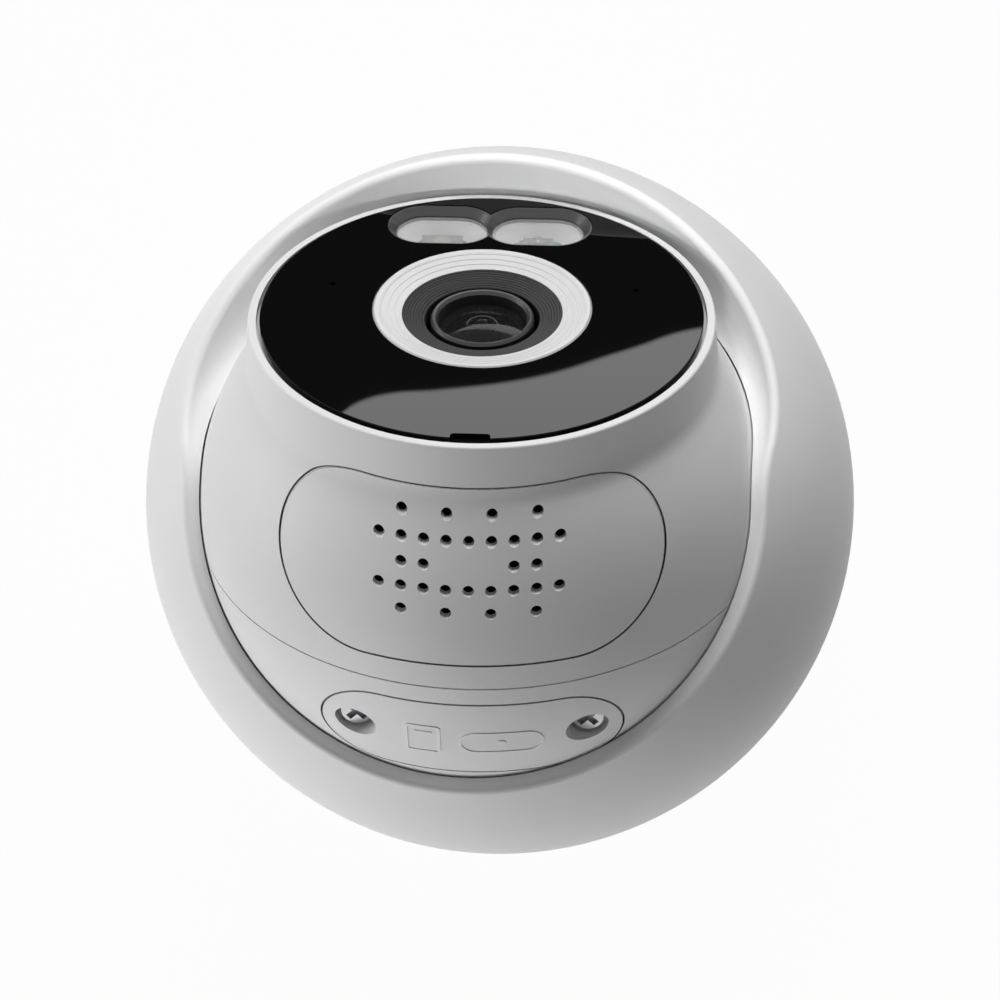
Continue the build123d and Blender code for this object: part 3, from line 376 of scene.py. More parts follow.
# The mounting plate is injection moulded in white ABS and screwed to the wall through four holes.
# Its rim continues the sphere of the shell, and its hub carries the pan bearing.
shell_colour = (0.80, 0.80, 0.80)
shell_roughness = 0.50
housing_white = moulded("housing_white", shell_colour, roughness=shell_roughness)
dress(housing_white, "mount_plate")

# The glide ring is punched from natural acetal sheet and lies loose on the plate.
# The swivel ring runs on it, so both keep a faint sheen from wear.
acetal_white = moulded("acetal_white", (0.62, 0.62, 0.60), roughness=0.34, grain_scale=900.0,
                       grain_depth=0.01, variation=0.08)
dress(acetal_white, "glide_ring")

# The swivel ring is moulded in grey nylon, waxy and slightly cloudy, with three curved slots.
# It carries the shell and the two cradle posts, and turns on the hub of the plate.
nylon_grey = moulded("nylon_grey", (0.42, 0.42, 0.43), roughness=0.45, grain_scale=1200.0, grain_depth=0.02,
                     variation=0.08)
dress(nylon_grey, "swivel_ring")


# The wave washer is a thin spring steel ring that takes up the play of the bearing.
# It is stamped from rolled strip, so its sheen runs in fine lines.
def make_metal_grain():
    """Group for metal: noise drawn out along one axis as roll or brush marks, with small stains."""
    group, inside, outside = new_group(
        "metal_grain", ("Color", "Roughness", "Mark Scale"), ("Color", "Roughness", "Height"))
    nodes = group.nodes
    links = group.links
    place = nodes.new("ShaderNodeTexCoord")
    drawn = nodes.new("ShaderNodeMapping")
    drawn.inputs["Scale"].default_value = (1.0, 0.04, 1.0)
    marks = nodes.new("ShaderNodeTexNoise")
    marks.inputs["Detail"].default_value = 3.0
    stains = nodes.new("ShaderNodeTexNoise")
    stains.inputs["Scale"].default_value = 320.0
    shade = nodes.new("ShaderNodeMapRange")
    shade.inputs["From Min"].default_value = 0.3
    shade.inputs["From Max"].default_value = 0.7
    shade.inputs["To Min"].default_value = 0.82
    tint = nodes.new("ShaderNodeMix")
    tint.data_type = "RGBA"
    tint.blend_type = "MULTIPLY"
    tint.inputs["Factor"].default_value = 1.0
    rougher = nodes.new("ShaderNodeMath")
    rougher.operation = "MULTIPLY_ADD"
    rougher.inputs[1].default_value = 0.18
    links.new(place.outputs["Object"], drawn.inputs["Vector"])
    links.new(drawn.outputs["Vector"], marks.inputs["Vector"])
    links.new(place.outputs["Object"], stains.inputs["Vector"])
    links.new(inside.outputs["Mark Scale"], marks.inputs["Scale"])
    links.new(stains.outputs["Fac"], shade.inputs["Value"])
    links.new(inside.outputs["Color"], tint.inputs["A"])
    links.new(shade.outputs["Result"], tint.inputs["B"])
    links.new(tint.outputs["Result"], outside.inputs["Color"])
    links.new(marks.outputs["Fac"], rougher.inputs[0])
    links.new(inside.outputs["Roughness"], rougher.inputs[2])
    links.new(rougher.outputs[0], outside.inputs["Roughness"])
    links.new(marks.outputs["Fac"], outside.inputs["Height"])
    return group


metal_grain = make_metal_grain()


def metal(name, colour, roughness, mark_scale=1800.0, mark_depth=0.004):
    """Rolled, turned or plated metal: the metal group feeds one metallic Principled shader."""
    material = bpy.data.materials.new(name)
    material.use_nodes = True
    nodes = material.node_tree.nodes
    links = material.node_tree.links
    shader = nodes["Principled BSDF"]
    shader.inputs["Metallic"].default_value = 1.0
    grain = nodes.new("ShaderNodeGroup")
    grain.node_tree = metal_grain
    grain.inputs["Color"].default_value = (*colour, 1)
    grain.inputs["Roughness"].default_value = roughness
    grain.inputs["Mark Scale"].default_value = mark_scale
    bump = nodes.new("ShaderNodeBump")
    bump.inputs["Distance"].default_value = mark_depth * MM
    links.new(grain.outputs["Color"], shader.inputs["Base Color"])
    links.new(grain.outputs["Roughness"], shader.inputs["Roughness"])
    links.new(grain.outputs["Height"], bump.inputs["Height"])
    links.new(bump.outputs["Normal"], shader.inputs["Normal"])
    return material


spring_steel = metal("spring_steel", (0.56, 0.56, 0.58), roughness=0.22)
dress(spring_steel, "pan_wave_washer")

# The pan retainer is a stamped steel ring that keeps the swivel ring on the hub.
# Three small screws with cross recesses hold it down.
screw_steel = metal("screw_steel", (0.50, 0.50, 0.52), roughness=0.30, mark_scale=900.0)
dress(spring_steel, "pan_retainer")
dress(screw_steel, "retainer_screws")

# The power jack is a bought part: a black moulded block with a round socket and a centre contact.
# It is glued into a pocket of the plate, and the cable comes up through the wall box.
dark_plastic = moulded("dark_plastic", (0.020, 0.020, 0.020), roughness=0.42, grain_scale=2200.0,
                       grain_depth=0.02, variation=0.1, specular=0.25)
dress(dark_plastic, "power_jack")

# Two bent posts of glass-filled black nylon stand on the swivel ring, one each side of the ball.
# Each is held by two screws, and its ear holds the tilt bush.
dress(dark_plastic, "cradle_posts")
dress(screw_steel, "post_screws")

# The tilt bushes and washers are acetal and nylon rings, pressed in dry.
# They let the ball tilt smoothly and hold it by friction.
dress(acetal_white, "tilt_bushes")
dress(nylon_grey, "tilt_washers")

# The outer shell is injection moulded in white ABS with a fine spark grain, and left unpainted.
# The scoop is part of the same moulding, its mouth is rounded over, and three screws hold it.
dress(housing_white, "outer_shell")

# Three screws hang the shell on the swivel ring and run in its curved slots.
# They are cold headed steel, zinc plated, and dull from the barrel.
dress(screw_steel, "shell_screws")

# The tilt yoke is a strap of grey nylon, moulded in one piece, that reaches round the ball.
# Two ground steel pins hang it between the posts.
dress(nylon_grey, "tilt_yoke")
dress(spring_steel, "tilt_pins")

# The rear spindle is a hollow brass turning that carries the cable and lets the ball spin.
# It runs in an acetal bush with a nylon friction washer, and a brass nut holds it.
spindle_brass = metal("spindle_brass", (0.62, 0.50, 0.26), roughness=0.26, mark_scale=1500.0)
dress(spindle_brass, "rear_spindle", "spindle_nut")
dress(acetal_white, "spindle_bush")
dress(nylon_grey, "spin_washer")


# The ball is two half shells of the same white ABS, and the front one ends in the barrel of the face.
# The seams round the loose mouldings carry painted shade and dust, which is why they read as dark lines.
seam_slack = 0.02
seam_past_middle = 5.0
# The dark seam colour is painted shade and dust.
shade_and_dust_colour = (0.10, 0.10, 0.10)
shade_and_dust_reach = 0.30
joint = {entry["name"]: entry for entry in frame["joints"]}
lens_axis = Vector(joint["spin_joint"]["axis"]).normalized()
panel_side = -Vector(joint["card_push"]["axis"]).normalized()
ball_across = panel_side.cross(lens_axis)
ball_centre = Vector(joint["tilt_joint"]["pos_m"])
ball_turn = Matrix((ball_across, panel_side, lens_axis)).transposed()


def ball_place(nodes, links, across=0.0, along=0.0):
    """Coordinates that turn with the ball: X across it, Y out of the panel, Z along the lens axis."""
    place = nodes.new("ShaderNodeTexCoord")
    turned = nodes.new("ShaderNodeMapping")
    turned.vector_type = "TEXTURE"
    turned.inputs["Location"].default_value = ball_centre + ball_turn @ (Vector((across, along, 0.0)) * MM)
    turned.inputs["Rotation"].default_value = ball_turn.to_euler()
    links.new(place.outputs["Object"], turned.inputs["Vector"])
    return turned.outputs["Vector"]


def make_seam_shade_and_dust():
    """Painted shade and dust mask for the gap round a moulding with round ends: one in the gap, nought
    elsewhere.
    """
    group, inside, outside = new_group(
        "seam_shade_and_dust", ("Vector", "Straight", "Radius", "Height Centre", "Gap"), ("Mask",))
    nodes = group.nodes
    links = group.links

    def maths(operation, first, second=None):
        step = nodes.new("ShaderNodeMath")
        step.operation = operation
        for socket, value in ((step.inputs[0], first), (step.inputs[1], second)):
            if isinstance(value, float):
                socket.default_value = value
            elif value is not None:
                links.new(value, socket)
        return step.outputs[0]

    axes = nodes.new("ShaderNodeSeparateXYZ")
    links.new(inside.outputs["Vector"], axes.inputs["Vector"])
    aside = maths("SUBTRACT", maths("ABSOLUTE", axes.outputs["X"]), inside.outputs["Straight"])
    beyond = maths("MAXIMUM", aside, 0.0)
    above = maths("SUBTRACT", axes.outputs["Z"], inside.outputs["Height Centre"])
    away = maths("SQRT", maths("ADD", maths("MULTIPLY", beyond, beyond), maths("MULTIPLY", above, above)))
    depth = maths("SUBTRACT", away, inside.outputs["Radius"])
    past_edge = maths("GREATER_THAN", depth, -seam_slack * MM)
    short_of_wall = maths("LESS_THAN", depth, inside.outputs["Gap"])
    within = maths("MULTIPLY", past_edge, short_of_wall)
    panel_half = maths("GREATER_THAN", axes.outputs["Y"], seam_past_middle * MM)
    links.new(maths("MULTIPLY", within, panel_half), outside.inputs["Mask"])
    return group


seam_shade_and_dust = make_seam_shade_and_dust()


def paint_shade_and_dust(material, half_length, height, centre, gap):
    """Paint shade and dust into a moulded finish in the gap round a panel, given in the ball's own
    millimetres.
    """
    nodes = material.node_tree.nodes
    links = material.node_tree.links
    shader = nodes["Principled BSDF"]
    shade_and_dust_node = nodes.new("ShaderNodeGroup")
    shade_and_dust_node.node_tree = seam_shade_and_dust
    links.new(ball_place(nodes, links), shade_and_dust_node.inputs["Vector"])
    shade_and_dust_node.inputs["Straight"].default_value = (half_length - height / 2) * MM
    shade_and_dust_node.inputs["Radius"].default_value = height / 2 * MM
    shade_and_dust_node.inputs["Height Centre"].default_value = centre * MM
    shade_and_dust_node.inputs["Gap"].default_value = gap * MM
    # This mix paints shade and dust into the gap.
    shade_and_dust_mix = nodes.new("ShaderNodeMix")
    shade_and_dust_mix.data_type = "RGBA"
    shade_and_dust_mix.inputs["B"].default_value = (*shade_and_dust_colour, 1)
    under = shader.inputs["Base Color"].links[0].from_socket
    links.new(shade_and_dust_node.outputs["Mask"], shade_and_dust_mix.inputs["Factor"])
    links.new(under, shade_and_dust_mix.inputs["A"])
    links.new(shade_and_dust_mix.outputs["Result"], shader.inputs["Base Color"])


panel_half_length = 27.5
panel_height = 24.97
panel_centre = 13.885
cover_half_length = 22.0
cover_height = 17.6
cover_centre = -15.1
front_white = moulded("front_white", shell_colour, roughness=shell_roughness)
paint_shade_and_dust(front_white, half_length=panel_half_length, height=panel_height, centre=panel_centre, gap=shade_and_dust_reach)
dress(front_white, "ball_front_shell")
rear_white = moulded("rear_white", shell_colour, roughness=shell_roughness)
paint_shade_and_dust(rear_white, half_length=cover_half_length, height=cover_height, centre=cover_centre, gap=shade_and_dust_reach)
dress(rear_white, "ball_rear_shell")

# A flat ring of black rubber is clamped between the half shells, and four long screws draw them together.
# The screw heads sit deep in wells of the rear shell.
dress(rubber_black, "shell_seal")
dress(screw_steel, "ball_screws")


# The face is one disc of smoked acrylic, cut by laser, with polished edges that stand a little proud.
# A ring of black foam tape holds it in the barrel, and it is wiped clean, so only faint smears remain.
glass_black = moulded("smoked_acrylic", (0.0045, 0.0045, 0.0045), roughness=0.012, grain_scale=300.0,
                      grain_depth=0.0, variation=0.0, specular=0.12, spread=0.01)
dress(glass_black, "front_glass")
dress(rubber_black, "glass_tape")


# The lens ring is a satin white moulding, pushed in from behind the face, with fine turned steps.
# The tool was turned, so its surface keeps very fine rings round the lens axis.
ring_spacing_at_one = 0.314
ring_distortion = 0.3
lens_low, lens_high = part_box("front_lens")
lens_place = ball_turn.transposed() @ ((lens_low + lens_high) / 2 - ball_centre) / MM


def turned_rings(material, pitch, depth, across, along):
    """Add fine rings to a moulded finish, in millimetres. Waves of scale one lie 0.314 m apart."""
    nodes = material.node_tree.nodes
    links = material.node_tree.links
    rings = nodes.new("ShaderNodeTexWave")
    rings.wave_type = "RINGS"
    rings.rings_direction = "Z"
    rings.inputs["Scale"].default_value = ring_spacing_at_one / (pitch * MM)
    rings.inputs["Distortion"].default_value = ring_distortion
    links.new(ball_place(nodes, links, across, along), rings.inputs["Vector"])
    tooling = nodes.new("ShaderNodeBump")
    tooling.inputs["Distance"].default_value = depth * MM
    links.new(rings.outputs["Fac"], tooling.inputs["Height"])
    links.new(nodes["bump"].outputs["Normal"], tooling.inputs["Normal"])
    links.new(tooling.outputs["Normal"], nodes["Principled BSDF"].inputs["Normal"])


ring_white = moulded("ring_white", (0.74, 0.74, 0.74), roughness=0.35, grain_scale=3500.0, grain_depth=0.01)
turned_rings(ring_white, pitch=0.25, depth=0.004, across=lens_place.x, along=lens_place.y)
dress(ring_white, "lens_ring")

# The baffle is a black funnel of fine steps that kill stray light, moulded in matt polycarbonate.
# It drops into the bore of the lens ring.
baffle_black = moulded("baffle_black", (0.014, 0.014, 0.014), roughness=0.42, grain_scale=2200.0,
                       grain_depth=0.01, variation=0.1, specular=0.30)
turned_rings(baffle_black, pitch=0.2, depth=0.006, across=lens_place.x, along=lens_place.y)
dress(baffle_black, "lens_baffle")

# The lens barrel is a black moulding with a fine thread, and screws into the holder.
# The tool left turned rings on it, so that its front rim catches the light.
barrel_black = moulded("barrel_black", (0.035, 0.035, 0.036), roughness=0.30, grain_scale=2600.0,
                       grain_depth=0.005, variation=0.1, specular=0.5)
turned_rings(barrel_black, pitch=0.12, depth=0.006, across=lens_place.x, along=lens_place.y)
dress(barrel_black, "lens_barrel")

# The front and rear elements are ground glass with a dark coating, glued into the barrel.
# The edge of the iris behind is a painted highlight on the front element, a small bright arc, and the thin
# filter keeps infrared light out by day.
# The bright arc on the front lens is a painted highlight, on the side away from the speaker panel.
iris_highlight_radius = 2.2
iris_highlight_width = 0.22
iris_highlight_shift = 0.6
iris_highlight_colour = (0.13, 0.13, 0.13)
arc_starts = 0.9
arc_full = -0.3
glass_colour = (0.010, 0.010, 0.011)
front_glass_colour = (0.012, 0.012, 0.012)


def make_thin_arc():
    """Group for half of a thin ring round the Z axis, on the side away from the speaker panel."""
    group, inside, outside = new_group("thin_arc", ("Vector", "Radius", "Width"), ("Mask",))
    nodes = group.nodes
    links = group.links
    flat = nodes.new("ShaderNodeVectorMath")
    flat.operation = "MULTIPLY"
    flat.inputs[1].default_value = (1.0, 1.0, 0.0)
    reach = nodes.new("ShaderNodeVectorMath")
    reach.operation = "LENGTH"
    off = nodes.new("ShaderNodeMath")
    off.operation = "SUBTRACT"
    away = nodes.new("ShaderNodeMath")
    away.operation = "ABSOLUTE"
    fade = nodes.new("ShaderNodeMapRange")
    fade.inputs["To Min"].default_value = 1.0
    fade.inputs["To Max"].default_value = 0.0
    axes = nodes.new("ShaderNodeSeparateXYZ")
    upper = nodes.new("ShaderNodeMapRange")
    upper.inputs["From Min"].default_value = arc_starts * MM
    upper.inputs["From Max"].default_value = arc_full * MM
    both = nodes.new("ShaderNodeMath")
    both.operation = "MULTIPLY"
    links.new(inside.outputs["Vector"], flat.inputs[0])
    links.new(flat.outputs["Vector"], reach.inputs[0])
    links.new(reach.outputs["Value"], off.inputs[0])
    links.new(inside.outputs["Radius"], off.inputs[1])
    links.new(off.outputs[0], away.inputs[0])
    links.new(away.outputs[0], fade.inputs["Value"])
    links.new(inside.outputs["Width"], fade.inputs["From Max"])
    links.new(inside.outputs["Vector"], axes.inputs["Vector"])
    links.new(axes.outputs["Y"], upper.inputs["Value"])
    links.new(fade.outputs["Result"], both.inputs[0])
    links.new(upper.outputs["Result"], both.inputs[1])
    links.new(both.outputs[0], outside.inputs["Mask"])
    return group


thin_arc = make_thin_arc()
lens_glass = moulded("coated_glass", glass_colour, roughness=0.05, grain_scale=200.0, grain_depth=0.0,
                     variation=0.0, specular=0.10, spread=0.01)
lens_glass.node_tree.nodes["Principled BSDF"].inputs["Alpha"].default_value = 0.72
dress(lens_glass, "rear_lens", "ir_cut_filter")
front_lens_glass = moulded("front_lens_glass", front_glass_colour, roughness=0.06, grain_scale=200.0,
                           grain_depth=0.0, variation=0.0, specular=0.10, spread=0.01)
front_lens_glass.node_tree.nodes["Principled BSDF"].inputs["Alpha"].default_value = 0.80
nodes = front_lens_glass.node_tree.nodes
links = front_lens_glass.node_tree.links
# The arc is painted into the front lens colour as a highlight.
iris_highlight_arc = nodes.new("ShaderNodeGroup")
iris_highlight_arc.node_tree = thin_arc
iris_highlight_arc.inputs["Radius"].default_value = iris_highlight_radius * MM
iris_highlight_arc.inputs["Width"].default_value = iris_highlight_width * MM
iris_highlight_tint = nodes.new("ShaderNodeMix")
iris_highlight_tint.data_type = "RGBA"
iris_highlight_tint.inputs["B"].default_value = (*iris_highlight_colour, 1)
links.new(ball_place(nodes, links, lens_place.x, lens_place.y + iris_highlight_shift), iris_highlight_arc.inputs["Vector"])
links.new(iris_highlight_arc.outputs["Mask"], iris_highlight_tint.inputs["Factor"])
links.new(nodes["grain"].outputs["Color"], iris_highlight_tint.inputs["A"])
links.new(iris_highlight_tint.outputs["Result"], nodes["Principled BSDF"].inputs["Base Color"])
dress(front_lens_glass, "front_lens")

# The lens holder is a square black moulding screwed to the sensor board.
# It keeps the lens square over the image sensor and shuts out all other light.
dress(dark_plastic, "lens_holder")


# The boards are glass-epoxy laminate under green solder mask, with copper tracks that show through it.
# Tinned pads stand in rows where the parts are soldered.
board_relief = 0.03


def make_board_face():
    """Group for a circuit board: mask over tracks, with tinned pads. Tracks run square to the ball."""
    group, inside, outside = new_group(
        "board_face", ("Vector", "Mask Color", "Track Color"), ("Color", "Roughness", "Metallic", "Height"))
    nodes = group.nodes
    links = group.links
    tracks = nodes.new("ShaderNodeTexBrick")
    tracks.inputs["Scale"].default_value = 260.0
    tracks.inputs["Mortar Size"].default_value = 0.025
    tracks.inputs["Brick Width"].default_value = 0.9
    tracks.inputs["Row Height"].default_value = 0.18
    pads = nodes.new("ShaderNodeTexVoronoi")
    pads.inputs["Scale"].default_value = 420.0
    pads.inputs["Randomness"].default_value = 0.35
    tinned = nodes.new("ShaderNodeMath")
    tinned.operation = "LESS_THAN"
    tinned.inputs[1].default_value = 0.16
    masked = nodes.new("ShaderNodeMix")
    masked.data_type = "RGBA"
    soldered = nodes.new("ShaderNodeMix")
    soldered.data_type = "RGBA"
    soldered.inputs["B"].default_value = (0.62, 0.61, 0.58, 1)
    sheen = nodes.new("ShaderNodeMapRange")
    sheen.inputs["To Min"].default_value = 0.38
    sheen.inputs["To Max"].default_value = 0.22
    links.new(inside.outputs["Vector"], tracks.inputs["Vector"])
    links.new(inside.outputs["Vector"], pads.inputs["Vector"])
    links.new(tracks.outputs["Fac"], masked.inputs["Factor"])
    links.new(inside.outputs["Mask Color"], masked.inputs["A"])
    links.new(inside.outputs["Track Color"], masked.inputs["B"])
    links.new(pads.outputs["Distance"], tinned.inputs[0])
    links.new(tinned.outputs[0], soldered.inputs["Factor"])
    links.new(masked.outputs["Result"], soldered.inputs["A"])
    links.new(soldered.outputs["Result"], outside.inputs["Color"])
    links.new(tinned.outputs[0], sheen.inputs["Value"])
    links.new(sheen.outputs["Result"], outside.inputs["Roughness"])
    links.new(tinned.outputs[0], outside.inputs["Metallic"])
    links.new(tracks.outputs["Fac"], outside.inputs["Height"])
    return group


board_face = make_board_face()


def board(name, mask_colour, track_colour):
    """Finish of a circuit board."""
    material = bpy.data.materials.new(name)
    material.use_nodes = True
    nodes = material.node_tree.nodes
    links = material.node_tree.links
    shader = nodes["Principled BSDF"]
    face = nodes.new("ShaderNodeGroup")
    face.node_tree = board_face
    face.inputs["Mask Color"].default_value = (*mask_colour, 1)
    face.inputs["Track Color"].default_value = (*track_colour, 1)
    bump = nodes.new("ShaderNodeBump")
    bump.inputs["Distance"].default_value = board_relief * MM
    links.new(ball_place(nodes, links), face.inputs["Vector"])
    links.new(face.outputs["Color"], shader.inputs["Base Color"])
    links.new(face.outputs["Roughness"], shader.inputs["Roughness"])
    links.new(face.outputs["Metallic"], shader.inputs["Metallic"])
    links.new(face.outputs["Height"], bump.inputs["Height"])
    links.new(bump.outputs["Normal"], shader.inputs["Normal"])
    return material


board_green = board("board_green", mask_colour=(0.02, 0.13, 0.06), track_colour=(0.05, 0.22, 0.10))
dress(board_green, "sensor_board")


# The image sensor is a black ceramic package with a dark glass lid over the silicon.
# The lid shows as a darker, glossier field in the middle of the package.
def make_round_field():
    """Group for a round field on a small part: one colour inside a radius and another outside."""
    group, inside, outside = new_group(
        "round_field", ("Centre", "Radius", "Inner Color", "Outer Color"), ("Color", "Mask"))
    nodes = group.nodes
    links = group.links
    place = nodes.new("ShaderNodeTexCoord")
    reach = nodes.new("ShaderNodeVectorMath")
    reach.operation = "DISTANCE"
    inner = nodes.new("ShaderNodeMath")
    inner.operation = "LESS_THAN"
    paint = nodes.new("ShaderNodeMix")
    paint.data_type = "RGBA"
    links.new(place.outputs["Object"], reach.inputs[0])
    links.new(inside.outputs["Centre"], reach.inputs[1])
    links.new(reach.outputs["Value"], inner.inputs[0])
    links.new(inside.outputs["Radius"], inner.inputs[1])
    links.new(inner.outputs[0], paint.inputs["Factor"])
    links.new(inside.outputs["Outer Color"], paint.inputs["A"])
    links.new(inside.outputs["Inner Color"], paint.inputs["B"])
    links.new(paint.outputs["Result"], outside.inputs["Color"])
    links.new(inner.outputs[0], outside.inputs["Mask"])
    return group


round_field = make_round_field()


def packaged(name, part, radius, inner, outer):
    """Finish of a small electronic package: a round field in the middle of one node, in millimetres."""
    low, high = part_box(part)
    material = moulded(name, outer, roughness=0.3, grain_scale=2400.0, grain_depth=0.01, variation=0.05)
    nodes = material.node_tree.nodes
    links = material.node_tree.links
    field = nodes.new("ShaderNodeGroup")
    field.node_tree = round_field
    field.inputs["Centre"].default_value = (low + high) / 2
    field.inputs["Radius"].default_value = radius * MM
    field.inputs["Inner Color"].default_value = (*inner, 1)
    grain = nodes["grain"]
    links.new(grain.outputs["Color"], field.inputs["Outer Color"])
    links.new(field.outputs["Color"], nodes["Principled BSDF"].inputs["Base Color"])
    links.new(field.outputs["Mask"], nodes["Principled BSDF"].inputs["Coat Weight"])
    return material


dress(packaged("sensor_package", "image_sensor", radius=2.6, inner=(0.01, 0.012, 0.02),
               outer=(0.03, 0.03, 0.032)), "image_sensor")

# The frame round both lamps is one black moulding with sloping walls, snapped in from behind.
# Its walls are polished in the tool, so they catch the light where they face up.
frame_grey = moulded("frame_grey", (0.045, 0.045, 0.045), roughness=0.25, grain_scale=2600.0,
                     grain_depth=0.002, variation=0.1, specular=0.6)
dress(frame_grey, "window_frame")

# The two windows are clear polycarbonate, frosted inside, and held by the frame.
# The lamps behind them show through as soft shapes.
window_clear = moulded("frosted_window", (0.80, 0.80, 0.80), roughness=0.2, grain_scale=1500.0,
                       grain_depth=0.01, variation=0.05)
window_clear.node_tree.nodes["Principled BSDF"].inputs["Alpha"].default_value = 0.24
dress(window_clear, "lamp_windows")

# Each lamp has a small bowl of white polycarbonate that throws its light forward.
# The bowls are moulded smooth and stand on the lamp board.
reflector_white = moulded("reflector_white", (0.80, 0.80, 0.80), roughness=0.30, grain_scale=2600.0,
                          grain_depth=0.005)
dress(reflector_white, "lamp_reflectors")

# The lamp board carries a wide white LED on one side and an infrared LED with a domed lens on the other.
# The phosphor of the white one and the dark die of the other fill the middle of their packages.
dress(board_green, "lamp_board")
dress(packaged("white_led_package", "white_led", radius=1.4, inner=(0.30, 0.28, 0.20),
               outer=(0.14, 0.14, 0.14)), "white_led")
dress(packaged("infrared_package", "infrared_led", radius=1.5, inner=(0.05, 0.05, 0.055),
               outer=(0.16, 0.16, 0.16)), "infrared_led")

# A microphone and a light sensor sit behind the two pinholes of the face.
# Both are small cans glued to the back of the front wall.
dress(packaged("microphone_can", "microphone", radius=1.0, inner=(0.02, 0.02, 0.02),
               outer=(0.30, 0.30, 0.31)), "microphone")
dress(packaged("light_sensor_lid", "light_sensor", radius=0.9, inner=(0.02, 0.02, 0.025),
               outer=(0.12, 0.12, 0.12)), "light_sensor")

# The speaker panel is a separate white moulding that clicks into the ball over a gap all round.
# Its holes are moulded, and a hair line of painted shade and dust runs along its edge.
shade_and_dust_line = 0.02
shade_and_dust_line_inset = 0.03
panel_white = moulded("panel_white", shell_colour, roughness=shell_roughness)
paint_shade_and_dust(panel_white, half_length=panel_half_length - shade_and_dust_line_inset,
      height=panel_height - 2 * shade_and_dust_line_inset, centre=panel_centre, gap=shade_and_dust_line)
dress(panel_white, "speaker_panel")

# The speaker is a long driver with a black frame and a foam gasket that seals it to the ball.
# Its cone is pressed from black paper, and the fibres show close up.
dress(dark_plastic, "speaker_driver")
cone_paper = moulded("cone_paper", (0.035, 0.034, 0.033), roughness=0.62, grain_scale=700.0,
                     grain_depth=0.06, variation=0.25, specular=0.3)
dress(cone_paper, "speaker_cone")
dress(rubber_black, "speaker_gasket")

# The main board is a round board on four posts of the rear shell, held by small screws.
# Its edge is cut away round the bosses of the long screws.
dress(board_green, "main_board")
dress(screw_steel, "board_screws")

# The heat sink is extruded aluminium, anodised grey, and glued to the processor with a pad.
# Its fins keep the saw marks across their tops.
heat_sink_grey = metal("heat_sink_grey", (0.34, 0.34, 0.36), roughness=0.42, mark_scale=700.0,
                       mark_depth=0.02)
dress(heat_sink_grey, "heat_sink")

# The radio module has a tinned steel can over its chips, and the antenna is a strip of flexible circuit.
# The ribbon to the sensor board is the same flexible circuit, folded and plugged in.
dress(packaged("radio_can", "wifi_module", radius=4.0, inner=(0.34, 0.34, 0.34),
               outer=(0.40, 0.40, 0.41)), "wifi_module")
flex_black = board("flex_circuit", mask_colour=(0.02, 0.02, 0.02), track_colour=(0.10, 0.07, 0.03))
dress(flex_black, "wifi_antenna", "sensor_ribbon")

# The card socket is a black frame under the main board, and the card slides in from the cover side.
# Beside it the reset switch has a short round plunger.
dress(dark_plastic, "card_socket", "micro_sd_card")
dress(nylon_grey, "reset_switch", "reset_button")

# The card cover is a small white moulding held by two screws over a thin rubber gasket.
# It follows the ball, and the gap round it, with its painted shade and dust, is like that of the panel.
cover_white = moulded("cover_white", shell_colour, roughness=shell_roughness)
paint_shade_and_dust(cover_white, half_length=cover_half_length - shade_and_dust_line_inset,
      height=cover_height - 2 * shade_and_dust_line_inset, centre=cover_centre, gap=shade_and_dust_line)
dress(cover_white, "card_cover")
dress(rubber_black, "cover_gasket")

# The cover screws are nickel plated steel with cross recesses, sunk deep in round wells.
# Their heads are dulled by the barrel they were tumbled in.
cover_screw_steel = metal("cover_screw_steel", (0.36, 0.36, 0.37), roughness=0.34, mark_scale=600.0,
                          mark_depth=0.006)
dress(cover_screw_steel, "cover_screws")


# Raised marks on the cover show what lies under it: a card with a bar across it, and a dot in a capsule.
# They are part of the moulding, a hair's breadth high, with no words on them, and are a little lighter than
# the shell as a painted highlight.
mark_height = 0.14
mark_stroke = 0.34
mark_edge = 0.3
mark_start = 2.0
ball_outer_radius = 42.7


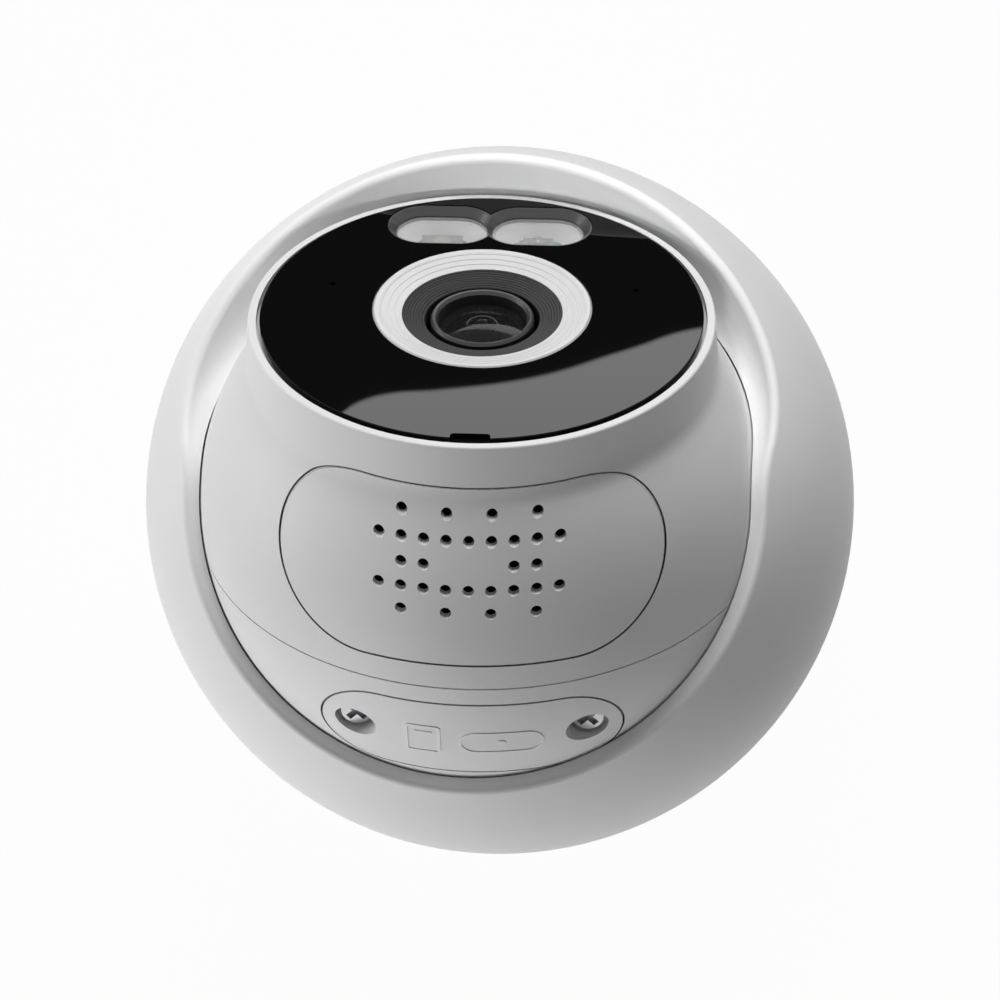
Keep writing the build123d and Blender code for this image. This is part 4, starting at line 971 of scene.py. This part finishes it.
def raised_mark(name, across, along, width, height, corner, segments, hollow):
    """Flat plate cut to an outline, laid on the cover and thickened, in the ball's own millimetres."""
    bpy.ops.object.select_all(action="DESELECT")
    bpy.ops.mesh.primitive_plane_add(size=1.0, location=(0, 0, 0))
    mark = bpy.context.object
    mark.name = name
    bpy.ops.object.mode_set(mode="EDIT")
    bpy.ops.mesh.select_all(action="SELECT")
    bpy.ops.transform.resize(value=(width * MM, height * MM, 1.0), center_override=(0, 0, 0))
    bpy.ops.mesh.bevel(offset=corner * MM, segments=segments, affect="VERTICES")
    bpy.ops.mesh.select_all(action="SELECT")
    if hollow:
        bpy.ops.mesh.inset(thickness=mark_stroke * MM)
        bpy.ops.mesh.delete(type="FACE")
        bpy.ops.mesh.select_all(action="SELECT")
        bpy.ops.mesh.subdivide(number_cuts=4)
    else:
        bpy.ops.mesh.inset(thickness=mark_edge * corner * MM)
    bpy.ops.object.mode_set(mode="OBJECT")
    axes = Matrix((-ball_across, lens_axis, panel_side)).transposed().to_4x4()
    spot = ball_turn @ (Vector((across, ball_outer_radius + mark_start, along)) * MM)
    mark.matrix_world = Matrix.Translation(ball_centre + spot) @ axes
    wrap = mark.modifiers.new("wrap", "SHRINKWRAP")
    wrap.target = node["card_cover"]
    wrap.wrap_method = "PROJECT"
    wrap.use_project_z = True
    wrap.use_positive_direction = False
    wrap.use_negative_direction = True
    thick = mark.modifiers.new("thick", "SOLIDIFY")
    thick.thickness = mark_height * MM
    thick.offset = 1.0
    bpy.ops.object.modifier_apply(modifier="wrap")
    bpy.ops.object.modifier_apply(modifier="thick")
    bpy.ops.object.transform_apply(location=True, rotation=True, scale=True)
    mark.data.materials.append(mark_white_painted_highlight)
    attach(mark, "ball")


# The marks are a lighter copy of the shell white, a painted highlight.
mark_white_painted_highlight = moulded("mark_white_painted_highlight", (0.84, 0.84, 0.84), roughness=0.45)
raised_mark("card_mark", across=6.85, along=-14.65, width=5.1, height=6.7, corner=0.6, segments=4,
            hollow=True)
raised_mark("card_mark_bar", across=6.85, along=-12.9, width=2.6, height=0.5, corner=0.12, segments=2,
            hollow=False)
raised_mark("reset_mark", across=-4.55, along=-14.85, width=12.3, height=5.1, corner=2.5, segments=8,
            hollow=True)
raised_mark("reset_dot", across=-4.55, along=-14.85, width=1.3, height=1.3, corner=0.62, segments=8,
            hollow=False)
